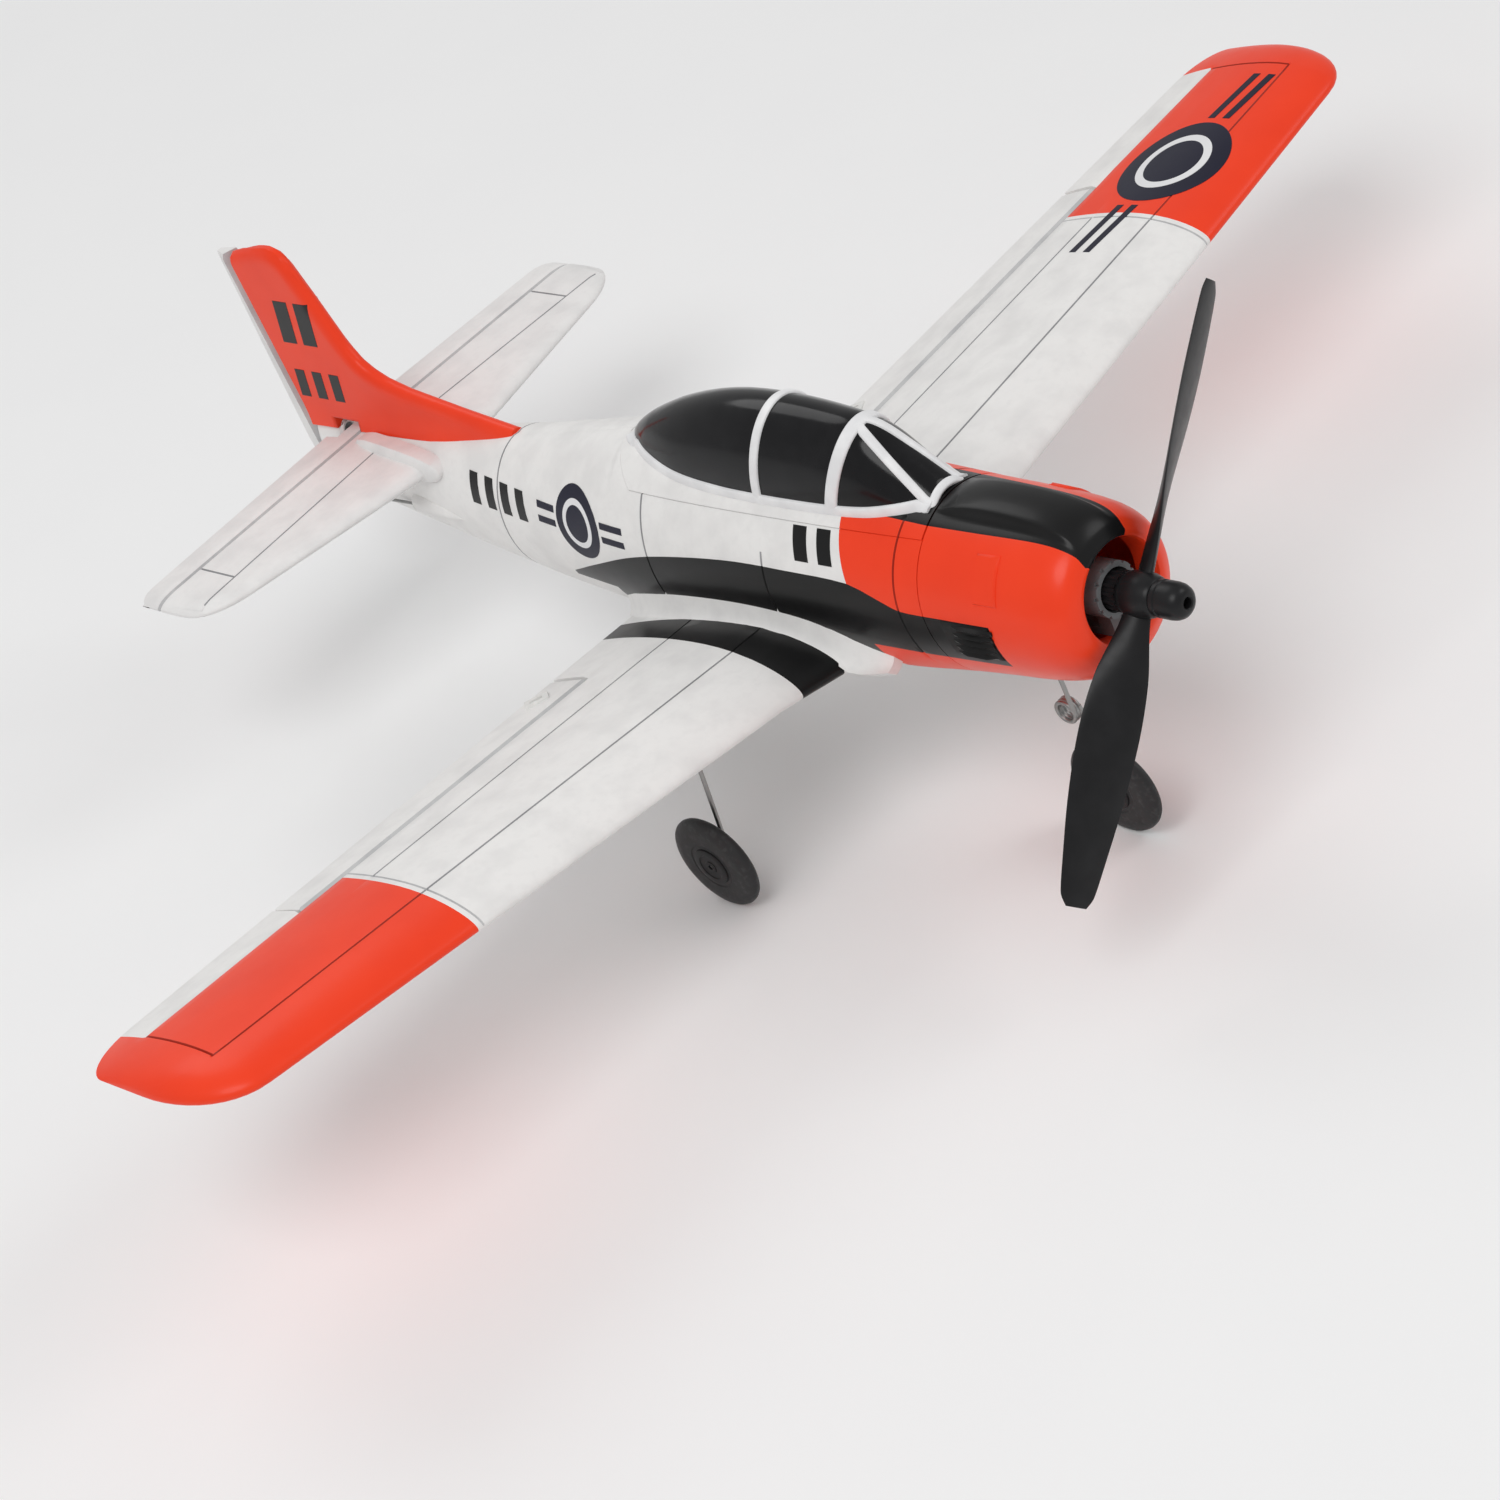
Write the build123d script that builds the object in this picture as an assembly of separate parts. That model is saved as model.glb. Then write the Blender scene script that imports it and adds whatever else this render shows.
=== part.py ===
from build123d import *
import math
import os

# Four-channel micro foam aeroplane of 400 mm span, in millimetres.
# Every piece is drawn in airframe axes: +X to the aeroplane's left wing, +Y aft, +Z up, with the
# propeller shaft on the line X = 0, Z = 0. At export each piece is turned to the nose-up stance in
# which the aeroplane stands on its wheels, with the origin at the bottom centre of the whole.

# ---------------------------------------------------------------- driving dimensions
TIP_X = 199.7            # half span
GLOVE_X = 38.0           # the leading edge sweeps forward inboard of here
TIP_START_X = 184.0      # the wing tip starts to round here
WING_IN_X = 15.0         # wing sections start here, inside the fuselage
DIHEDRAL = 0.1088        # rise per millimetre of span
INCIDENCE = 0.034        # fall per millimetre of chord
ROOT_LE_Z = -20.1
CAMBER = 0.04
CAMBER_AT = 0.4
THICKNESS = 0.135
TE_HALF = 0.6            # half thickness of the blunt foam trailing edge
TIP_FRONT_DRAW = 25.0    # how far the rounded tip draws in at its front and rear corners
TIP_REAR_DRAW = 8.0

AILERON_IN_X = 47.3
AILERON_OUT_X = 141.3
AILERON_END_GAP = 0.8
HINGE_SHARE = 0.788      # chord share of the aileron hinge
HINGE_GAP = 0.15
SPAR_SHARE = 0.19
AILERON_BEVEL = 24.0     # degrees of clearance under the aileron hinge

COWL_BACK_Y = -38.6
NOSE_Y = -79.5
COWL_WALL = 2.0
NOSE_HOLE_R = 11.3
FOAM_WALL = 2.6
CAVITY_END_Y = 150.0
SADDLE_Y = (-8.0, 72.0)  # the wing's belly block fills the fuselage bottom here
SADDLE_Z = -16.0
HATCH_Z = 15.2
HATCH_GAP = 0.25
HATCH_REAR = (55.5, 66.0, 23.0)   # the rear seam climbs from the level seam to this y and z

TAIL_Z = 5.0
SURFACE_THICK = 4.4
TAIL_HALF_SPAN = 75.5
TAIL_FRONT_R = 13.0      # corner radii of the tailplane tip
TAIL_REAR_R = 4.0
ELEVATOR_HINGE_Y = 175.6
RUDDER_HINGE_Y = 197.6
TAIL_BEVEL = 27.0
EDGE_HALF = 0.7          # half thickness of the trailing edges of elevator and rudder
TAIL_NOTCH = (-12.0, 12.0, 175.6, 185.6, 0.2, 10.0)
FIN_FOOT_Z = TAIL_Z + SURFACE_THICK / 2

SHAFT_R = 1.0
RUN_GAP = 0.06           # radial running clearance of shafts and axles
PROP_Y = -85.5
PROP_R = 66.3
PROP_LEAN = 45.5         # degrees that the parked propeller leans to the left wing
GEAR_MODULE = 0.3
PINION_TEETH = 9
SPUR_TEETH = 50
GEAR_FACE = (-49.8, -47.8)
MOTOR_R = 4.25
MOTOR_ANGLE = 153.0      # degrees from +X towards +Z round the shaft
MOTOR_Y = (-70.0, -52.5)
BEARING_R = 2.5
BEARING_W = 2.5

WHEEL_R = 12.2
TYRE_HALF = 1.9
HUB_R = 5.0
HUB_HALF = 2.3
WIRE_R = 0.55
MAIN_WHEEL = (57.0, 20.8, -52.4)
MAIN_LEG_TOP = (51.2, 16.9, -13.5)
MAIN_LEG_X = 53.1
NOSE_WHEEL = (-1.0, -53.3, -58.3)
NOSE_LEG_TOP = (-0.9, -49.5, -15.0)
NOSE_LEG_X = 2.6
COIL = (0.0, -46.9, -38.7)
COIL_R = 2.6

ROD_R = 0.4              # control wires
ROD_HOLE_R = 1.2         # open pivots, wide enough for the arc of the horn
TUNNEL_R = 1.5           # bore through the foam round a tail control wire
GUIDE_R = 1.05           # bore of the guide tube at its end
ROD_X = 9.5
SERVO_ARM = 8.0
ELEVATOR_SERVO_Y = 40.0
RUDDER_SERVO_Y = 61.2
FLOOR_Z = -13.0          # cabin floor over the wing
ROD_START_Z = -3.4
ROD_END_Z = -8.2
AILERON_HORN = (57.5, 60.6)
HORN_TURN = 34.0         # degrees that the aileron horn turns towards the centre servo
HORN_HOLE = (51.7, 56.7, -22.0)
SLIDER_PIN = (8.0, 27.0, -27.9)
POCKET_TOP_Z = -19.5     # roof of the aileron servo's pocket under the wing

STANCE = math.degrees(math.atan2(MAIN_WHEEL[2] - NOSE_WHEEL[2], MAIN_WHEEL[1] - NOSE_WHEEL[1]))
BOX_MIDDLE_Y = 54.93     # middle of the turned aeroplane's length
GROUND_Z = MAIN_WHEEL[2] * math.cos(math.radians(STANCE)) \
    - MAIN_WHEEL[1] * math.sin(math.radians(STANCE)) - WHEEL_R

# fuselage stations: y, top, bottom, half width, height of the widest line
STATIONS = [
    (-79.5, 12.8, -13.6, 13.4, -0.4),
    (-78.3, 15.2, -16.4, 15.9, -0.5),
    (-75.0, 17.2, -19.2, 17.9, -0.7),
    (-70.0, 18.3, -21.0, 19.0, -0.9),
    (-62.0, 18.9, -22.4, 19.6, -1.0),
    (-51.0, 19.2, -23.5, 19.9, -1.0),
    (-38.6, 19.5, -25.0, 20.1, -1.0),
    (-16.0, 20.3, -28.0, 20.9, -1.5),
    (10.0, 21.0, -29.0, 21.4, -2.0),
    (35.0, 21.8, -29.0, 21.2, -2.5),
    (55.0, 22.2, -28.5, 20.4, -3.0),
    (66.0, 21.6, -28.0, 19.7, -3.3),
    (80.0, 19.2, -27.0, 18.4, -3.8),
    (100.0, 15.8, -25.3, 16.3, -4.5),
    (111.0, 14.2, -23.8, 15.0, -5.0),
    (130.0, 11.9, -21.6, 12.7, -5.0),
    (150.0, 10.2, -19.2, 10.0, -5.0),
    (172.0, 8.8, -16.8, 7.0, -4.5),
    (190.0, 8.0, -14.8, 4.2, -4.0),
    (197.0, 7.6, -14.0, 3.2, -4.0),
]
COWL_STATIONS = slice(0, 7)
COWL_CAVITY = slice(2, 7)
BODY_STATIONS = slice(6, 20)
CAVITY_STATIONS = slice(6, 17)

# canopy stations: y, top, half width, height of the widest line
CANOPY = [
    (-37.0, 20.6, 6.0, 15.5),
    (-28.0, 28.4, 8.4, 16.0),
    (-20.0, 34.4, 10.0, 17.0),
    (-8.0, 36.6, 11.0, 18.5),
    (10.0, 37.6, 11.6, 19.0),
    (25.0, 36.6, 11.6, 19.0),
    (40.0, 33.2, 10.6, 18.5),
    (52.0, 28.8, 8.0, 18.0),
    (59.0, 25.2, 5.0, 18.0),
    (62.5, 22.6, 2.4, 18.0),
]
GLAZING_WALL = 1.2
FRAME_PROUD = 0.7

FIN_OUTLINE = [
    (112.0, 15.2), (150.0, 21.6), (158.0, 23.9), (165.0, 28.5), (175.6, 57.0), (177.5, 59.4),
    (181.0, 60.6), (190.0, 59.5), (197.4, 57.9), (197.4, FIN_FOOT_Z), (150.0, FIN_FOOT_Z),
    (112.0, 12.0),
]
RUDDER_OUTLINE = [
    (197.8, 57.9), (203.4, 57.9), (205.9, -3.0), (205.2, -8.0), (203.0, -11.0), (197.8, -13.6),
]
# fairing between wing and fuselage: y, height on the fuselage side, reach along the wing
FAIRING = [
    (-19.0, -15.8, 20.4), (-13.5, -12.4, 22.8), (-5.0, -7.6, 23.4), (8.0, -5.0, 23.2), (25.6, -4.9, 23.6),
    (47.3, -7.9, 23.2), (65.7, -12.7, 20.8),
]


# ---------------------------------------------------------------- helpers
def egg_wire(y, top, bottom, half_width, widest):
    """Cross-section across the fuselage: two half ellipses that share their widest line."""
    across = Plane(origin=(0, y, 0), x_dir=(1, 0, 0), z_dir=(0, -1, 0))
    upper = EllipticalCenterArc((0, widest), half_width, top - widest, 0, arc_size=180)
    lower = EllipticalCenterArc((0, widest), half_width, widest - bottom, 180, arc_size=180)
    return across * Wire([upper.edge(), lower.edge()])


def fuselage_loft(stations, inset=0.0):
    """Solid through the fuselage stations, drawn in by inset."""
    wires = []
    for y, top, bottom, half_width, widest in STATIONS[stations]:
        wires.append(egg_wire(y, top - inset, bottom + inset, half_width - inset, widest))
    return Solid.make_loft(wires)


def canopy_loft(grow):
    """Solid of the bubble canopy, grown by a given amount; it reaches down into the fuselage."""
    wires = []
    for y, top, half_width, widest in CANOPY:
        wires.append(egg_wire(y, top + grow, widest - 12.0 - abs(grow), half_width + grow, widest))
    return Solid.make_loft(wires)


def block(x0, x1, y0, y1, z0, z1):
    """Box between two corners."""
    middle = Pos((x0 + x1) / 2, (y0 + y1) / 2, (z0 + z1) / 2)
    return middle * Box(x1 - x0, y1 - y0, z1 - z0)


def side_prism(points, x0, x1):
    """Prism of a (y, z) outline between x0 and x1."""
    face = make_face(Polyline(*[(x0, y, z) for y, z in points], close=True))
    return extrude(face, amount=x1 - x0, dir=(1, 0, 0))


def plan_prism(points, z0, z1):
    """Prism of an (x, y) outline between z0 and z1."""
    face = make_face(Polyline(*[(x, y, z0) for x, y in points], close=True))
    return extrude(face, amount=z1 - z0, dir=(0, 0, 1))


def rod(start, end, radius):
    """Round bar between two points."""
    run = Vector(*end) - Vector(*start)
    return Solid.make_cylinder(radius, run.length, Plane(origin=start, z_dir=run))


def rod_y(y0, y1, radius, x=0.0, z=0.0):
    """Round bar along the aeroplane."""
    return rod((x, y0, z), (x, y1, z), radius)


def rod_x(x0, x1, radius, y, z):
    """Round bar across the aeroplane."""
    return rod((x0, y, z), (x1, y, z), radius)


def bent_wire(points, bends, radius):
    """Round wire of straight runs joined by tangent arcs."""
    path = FilletPolyline(*points, radius=bends)
    start = Plane(origin=path @ 0, z_dir=path % 0)
    return sweep(start * Circle(radius), path=path)


def mirrored(shape):
    """The same piece on the other side."""
    return shape.mirror(Plane.YZ)


def largest(shape):
    """The one real solid of a shape, without slivers."""
    return shape.solids().sort_by(SortBy.VOLUME)[-1]


# ---------------------------------------------------------------- wing
def leading_edge_y(x):
    if x > GLOVE_X:
        return 0.05 * (x - 129.0)
    return 0.05 * (GLOVE_X - 129.0) - 0.2 * (GLOVE_X - x)


def chord_at(x):
    return 72.0 - 0.098 * x - leading_edge_y(x)


def foil_height(share, side):
    """Height of the wing surface over its chord line, as a share of the chord."""
    if share < CAMBER_AT:
        camber = CAMBER / CAMBER_AT**2 * (2 * CAMBER_AT * share - share**2)
    else:
        rear = 1 - 2 * CAMBER_AT + 2 * CAMBER_AT * share - share**2
        camber = CAMBER / (1 - CAMBER_AT) ** 2 * rear
    series = 0.2969 * math.sqrt(share) - 0.126 * share - 0.3516 * share**2
    series += 0.2843 * share**3 - 0.1036 * share**4
    return camber + side * 5 * THICKNESS * series


def tip_fullness(x):
    """1 along the wing, falling to a small value at the end of the rounded tip."""
    if x <= TIP_START_X:
        return 1.0
    reach = (x - TIP_START_X) / (TIP_X - TIP_START_X)
    return math.sqrt(max(1 - reach**2.2, 0.03))


def wing_point(x, share, side):
    """Point of the wing surface; side is 1 above and -1 below."""
    full = tip_fullness(x)
    y = leading_edge_y(x) + (1 - full) * TIP_FRONT_DRAW
    y += share * (chord_at(x) - (1 - full) * (TIP_FRONT_DRAW + TIP_REAR_DRAW))
    z = ROOT_LE_Z + DIHEDRAL * x - INCIDENCE * (y - leading_edge_y(x))
    z += full * (chord_at(x) * foil_height(share, side) + side * TE_HALF * share)
    return Vector(x, y, z)


def foil_wire(x):
    """Closed outline of the wing at span x."""
    shares = [0.0, 0.02, 0.08, 0.2, 0.4, 0.6, 0.8, 1.0]
    upper = Spline(*[wing_point(x, s, 1) for s in shares])
    lower = Spline(*[wing_point(x, s, -1) for s in shares])
    return Wire([upper.edge(), Line(upper @ 1, lower @ 1).edge(), lower.edge()])


def wing_half():
    """Left half of the wing, with its rounded tip."""
    sections = [WING_IN_X, GLOVE_X, TIP_START_X, 189.0, 193.0, 196.0, 198.0, 199.2, TIP_X]
    return Solid.make_loft([foil_wire(x) for x in sections], ruled=True)


def aileron_region(gap, bevel, end_gap):
    """Space behind the aileron hinge; its front face leans aft below the hinge by bevel."""
    wires = []
    for x in (AILERON_IN_X + end_gap, AILERON_OUT_X - end_gap):
        hinge = wing_point(x, HINGE_SHARE, 1)
        depth = 12.0
        front = hinge.Y + gap
        lean = depth * math.tan(math.radians(bevel))
        outline = [
            (x, front, hinge.Z + depth), (x, front, hinge.Z), (x, front + lean, hinge.Z - depth),
            (x, front + 40.0, hinge.Z - depth), (x, front + 40.0, hinge.Z + depth),
        ]
        wires.append(Polyline(*outline, close=True).wire())
    return Solid.make_loft(wires, ruled=True)


def fairing_half():
    """Root fairing of the left side, as a run of triangular sections."""
    wires = []
    for y, height, reach in FAIRING:
        outline = [(17.0, y, height), (reach, y, height - 7.5), (17.0, y, height - 7.5)]
        wires.append(Polyline(*outline, close=True).wire())
    return Solid.make_loft(wires, ruled=True)


def aileron_horn():
    """Left aileron horn: top plate with an oval slot, a web through the foam and a low lug."""
    top_z = wing_point(AILERON_HORN[0], 0.905, 1).Z
    place = Pos(AILERON_HORN[0], AILERON_HORN[1], top_z) * Rot(-8, 0, HORN_TURN)
    plate = place * Box(6.0, 3.7, 1.0)
    slot = place * extrude(SlotOverall(3.4, 1.4), amount=1.0, both=True)
    web = Pos(*AILERON_HORN, 0) * Rot(0, 0, HORN_TURN) * block(-2.0, 2.0, -0.6, 0.6, -22.0, top_z)
    lug = Pos(*AILERON_HORN, 0) * Rot(0, 0, HORN_TURN) * block(-8.6, 2.0, -0.6, 0.6, -24.0, -18.2)
    eye = Vector(*HORN_HOLE)
    side = Vector(-math.sin(math.radians(HORN_TURN)), math.cos(math.radians(HORN_TURN)), 0)
    hole = rod(eye - side * 3, eye + side * 3, ROD_HOLE_R)
    return largest(plate - slot + web + lug - hole)


def aileron_rod():
    """Left aileron control wire, from the centre slider to the horn, with a hook at each end."""
    start = Vector(*SLIDER_PIN)
    end = Vector(*HORN_HOLE)
    side = Vector(-math.sin(math.radians(HORN_TURN)), math.cos(math.radians(HORN_TURN)), 0)
    path = [start + Vector(0, 0, 2.6), start, end + side * 1.6, end - side * 1.4]
    return bent_wire(path, [0.7, 0.7], ROD_R)


def make_wing(outer):
    """One-piece wing, its ailerons, and what is fixed in it."""
    half = wing_half()
    over = outer - block(-60, 60, SADDLE_Y[0], SADDLE_Y[1], -60, SADDLE_Z)
    belly = outer & block(-60, 60, SADDLE_Y[0], SADDLE_Y[1], -60, SADDLE_Z)
    plain = half + fairing_half()
    aileron = largest(half & aileron_region(HINGE_GAP, AILERON_BEVEL, AILERON_END_GAP))
    horn = aileron_horn()
    aileron = largest(aileron - horn)
    panel = plain - aileron_region(0.0, 0.0, 0.0)
    wing = panel + mirrored(panel) - over + belly
    pocket = block(-10.5, 10.5, 19.0, 35.0, -60.0, POCKET_TOP_Z)
    pocket += block(-12.5, 12.5, 24.8, 29.2, -60.0, -23.0)
    spar_in = wing_point(24.0, SPAR_SHARE, 0)
    spar_out = wing_point(120.0, SPAR_SHARE, 0)
    spar = rod(spar_in, spar_out, 0.75)
    socket = block(47.2, 55.2, 12.0, 22.0, -19.2, -12.8)
    leg_line = rod(MAIN_LEG_TOP, (MAIN_LEG_X, MAIN_WHEEL[1], MAIN_WHEEL[2]), WIRE_R)
    spars = Compound([spar, mirrored(spar)])
    sockets = Compound([largest(socket - leg_line), mirrored(largest(socket - leg_line))])
    wing = largest(wing - pocket - spar - mirrored(spar) - socket - mirrored(socket))
    case = block(-9.5, 9.5, 20.0, 34.0, -25.0, POCKET_TOP_Z)
    rail = block(-9.0, 9.0, 29.5, 31.0, -27.0, -25.0)
    slider = block(-9.5, 9.5, 25.4, 28.6, -27.0, -25.3)
    for sign in (1, -1):
        slider -= rod((sign * 8.0, 27.0, -30.0), (sign * 8.0, 27.0, -20.0), ROD_HOLE_R)
    case -= block(-9.6, 9.6, 25.0, 29.0, -25.1, -23.4)
    pushrod = aileron_rod()
    return {
        "wing_panel": wing,
        "wing_spars": spars,
        "main_gear_sockets": sockets,
        "aileron_left": aileron,
        "aileron_right": mirrored(aileron),
        "aileron_horn_left": horn,
        "aileron_horn_right": mirrored(horn),
        "aileron_servo": largest(case + rail),
        "aileron_slider": slider,
        "aileron_pushrod_left": pushrod,
        "aileron_pushrod_right": mirrored(pushrod),
    }


# ---------------------------------------------------------------- fuselage and hatch
def hatch_prism(gap):
    """Side view of the hatch space, drawn in by gap."""
    y1, y2, z2 = HATCH_REAR
    low = HATCH_Z + gap
    high = 60.0
    slope = (y2 - y1) / (z2 - HATCH_Z)
    front = COWL_BACK_Y + (gap if gap else -5.0)
    rear_low = (y1 + gap * slope - gap * 1.6, low)
    rear_high = (y1 + (high - HATCH_Z) * slope - gap * 1.6, high)
    return side_prism([(front, low), rear_low, rear_high, (front, high)], -40, 40)


def magnet_discs(z0):
    """Two pairs of disc magnets, at the front and the rear of the hatch."""
    discs = []
    for y in (-33.8, 49.5):
        for x in (-6.0, 6.0):
            discs.append(Solid.make_cylinder(1.5, 1.0, Plane(origin=(x, y, z0))))
    return discs


def fairing_pod(side):
    """Teardrop boss on the fuselage side where a tail control wire comes out."""
    outline = Polyline((0, 133.0), (2.4, 146.0), (2.9, 151.0), (2.6, 155.0), (0, 155.0), close=True)
    return Pos(side * 9.6, 0, -6.9) * revolve(make_face(outline), axis=Axis.Y)


def tail_rod_line(start_y, end_y):
    """End points of a tail control wire."""
    return (ROD_X, start_y, ROD_START_Z), (ROD_X, end_y, ROD_END_Z)


def fuselage_half(side, outer, room, magnets):
    """Left or right foam moulding; side is 1 on the left and -1 on the right."""
    x0, x1 = sorted((0.0, side * 60.0))
    half = outer & block(x0, x1, -100, 260, -60, 80)
    half -= room
    half -= block(-60, 60, SADDLE_Y[0], SADDLE_Y[1], -60, SADDLE_Z)
    half -= hatch_prism(0.0)
    half = largest(half + (fairing_pod(side) - outer))
    half -= extrude(tail_plan(), amount=SURFACE_THICK)
    half -= side_prism(FIN_OUTLINE, -SURFACE_THICK / 2, SURFACE_THICK / 2)
    half -= block(*TAIL_NOTCH)
    half -= tail_tunnel(side, TUNNEL_R)
    half -= block(*sorted((side * 12.0, side * 6.0)), 169.0, 176.5, ROD_END_Z - 1.2, ROD_END_Z + 1.2)
    for disc in magnets:
        half -= disc
    return largest(half)


def tail_tunnel(side, radius):
    """Straight bore along a tail control wire."""
    if side > 0:
        return rod(*tail_rod_line(RUDDER_SERVO_Y, RUDDER_HINGE_Y), radius)
    return mirrored(rod(*tail_rod_line(ELEVATOR_SERVO_Y, ELEVATOR_HINGE_Y), radius))


def make_fuselage(outer):
    """Two foam halves, the hatch over the cabin and their magnets."""
    cavity = fuselage_loft(CAVITY_STATIONS, FOAM_WALL)
    floor = block(-60, 60, SADDLE_Y[0] - FOAM_WALL, SADDLE_Y[1] + FOAM_WALL, -60, FLOOR_Z)
    shelves = block(-40, 40, -36.6, -31.0, 11.5, HATCH_Z - 0.2)
    shelves += block(-40, 40, 47.0, 52.0, 11.5, HATCH_Z - 0.2)
    room = cavity - floor - shelves
    seats = magnet_discs(HATCH_Z - 1.2)
    guide_zone = block(-60, 60, 148.0, 155.0, -60, 60)
    guides = []
    for side in (1, -1):
        guides.append(largest((tail_tunnel(side, TUNNEL_R) & guide_zone) - tail_tunnel(side, GUIDE_R)))
    blocks = block(-40, 40, -36.0, -31.0, HATCH_Z + HATCH_GAP, 30.0)
    blocks += block(-40, 40, 47.0, 52.0, HATCH_Z + HATCH_GAP, 30.0)
    deck = (outer & hatch_prism(HATCH_GAP)) - (cavity - blocks)
    caps = magnet_discs(HATCH_Z + HATCH_GAP)
    for disc in caps:
        deck -= disc
    firewall = cavity & block(-40, 40, COWL_BACK_Y, -36.6, -40, HATCH_Z - 0.2)
    firewall -= rod_y(-40, -30, 3.5, 11.0, -9.0)
    return {
        "fuselage_left": fuselage_half(1, outer, room, seats),
        "fuselage_right": fuselage_half(-1, outer, room, seats),
        "pushrod_guides": Compound(guides),
        "hatch_deck": largest(deck),
        "hatch_seat_magnets": Compound(seats),
        "hatch_magnets": Compound(caps),
        "firewall": firewall,
    }, cavity


def make_canopy(outer):
    """Dark glazing shell with a raised frame on it."""
    full = canopy_loft(0.0)
    glazing = largest(full - canopy_loft(-GLAZING_WALL) - outer)
    proud = canopy_loft(FRAME_PROUD) - full - outer
    arch = side_prism([(-21.0, 45.0), (-17.6, 45.0), (-9.0, 10.0), (-12.4, 10.0)], -20, 20)
    hoop = side_prism([(6.0, 45.0), (8.8, 45.0), (13.4, 10.0), (10.6, 10.0)], -20, 20)
    sill = side_prism([(-38.0, 10.0), (-38.0, 21.0), (-33.0, 20.2), (-10.0, 19.4), (45.0, 19.6),
                       (56.0, 22.4), (70.0, 26.0), (70.0, 10.0)], -20, 20)
    bar = plan_prism([(4.6, -40.0), (7.2, -38.5), (1.2, -18.0), (-1.2, -18.0)], 10, 50)
    frame = proud & (arch + hoop + sill + bar + mirrored(bar))
    return {"canopy_panes": glazing, "canopy_frame": largest(frame)}


def make_cowl():
    """Nose cowl: a moulded bowl with a round mouth."""
    bowl = fuselage_loft(COWL_STATIONS)
    cavity = fuselage_loft(COWL_CAVITY, COWL_WALL)
    cowl = bowl - cavity - rod_y(NOSE_Y - 1, -73.0, NOSE_HOLE_R)
    leg_hole = rod(NOSE_LEG_TOP, (NOSE_LEG_TOP[0], NOSE_LEG_TOP[1], -35.0), 1.0)
    socket = cavity & block(-5.0, 3.4, -54.0, -45.0, -40.0, -14.5)
    socket -= rod((NOSE_LEG_TOP[0], NOSE_LEG_TOP[1], NOSE_LEG_TOP[2]),
                  (NOSE_LEG_TOP[0], NOSE_LEG_TOP[1], -40.0), WIRE_R)
    return {"nose_cowl": largest(cowl - leg_hole), "nose_gear_socket": largest(socket)}


# ---------------------------------------------------------------- tail
def tail_plan():
    """Outline of tailplane and elevator together, seen from above."""
    tip_y = 138.6 + 0.235 * TAIL_HALF_SPAN
    points = [(0, 140.7), (9.0, 140.7), (TAIL_HALF_SPAN, tip_y), (TAIL_HALF_SPAN, 186.4), (0, 188.6)]
    half = make_face(Polyline(*points, close=True))
    corners = half.vertices().sort_by(Axis.X)[-2:].sort_by(Axis.Y)
    half = fillet(corners[:1], TAIL_FRONT_R)
    rear = [v for v in half.vertices() if v.X > TAIL_HALF_SPAN - 0.1 and v.Y > 180]
    half = fillet(rear, TAIL_REAR_R)
    whole = half + mirrored(half)
    return Pos(0, 0, TAIL_Z - SURFACE_THICK / 2) * whole


def elevator_horn():
    """Plate horn under the right side of the elevator."""
    low = TAIL_Z - SURFACE_THICK / 2
    outline = [(177.2, low), (183.5, low), (178.6, ROD_END_Z - 2.4), (173.6, ROD_END_Z - 2.4),
               (173.6, ROD_END_Z + 2.0)]
    plate = side_prism(outline, -8.2, -7.2)
    return plate - rod_x(-10, -5, ROD_HOLE_R, ELEVATOR_HINGE_Y, ROD_END_Z)


def rudder_horn():
    """Plate horn on the left side of the rudder."""
    face = SURFACE_THICK / 2
    outline = [(face, 199.2), (face, 202.6), (ROD_X + 2.2, 199.8), (ROD_X + 2.2, 195.4),
               (ROD_X - 2.0, 195.4)]
    plate = plan_prism(outline, ROD_END_Z - 2.4, ROD_END_Z - 1.4)
    return plate - rod((ROD_X, RUDDER_HINGE_Y, -15), (ROD_X, RUDDER_HINGE_Y, 0), ROD_HOLE_R)


def elevator_rod():
    """Right control wire: down through the servo arm, aft, and across through the horn."""
    start, end = tail_rod_line(ELEVATOR_SERVO_Y, ELEVATOR_HINGE_Y)
    path = [(start[0], start[1], start[2] - 3.0), start, end, (end[0] - 3.0, end[1], end[2])]
    return mirrored(bent_wire(path, [0.8, 0.8], ROD_R))


def rudder_rod():
    """Left control wire: down through the servo arm, aft, and down through the horn."""
    start, end = tail_rod_line(RUDDER_SERVO_Y, RUDDER_HINGE_Y)
    path = [(start[0], start[1], start[2] - 3.0), start, end, (end[0], end[1], end[2] - 3.2)]
    return bent_wire(path, [0.8, 0.8], ROD_R)


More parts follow.
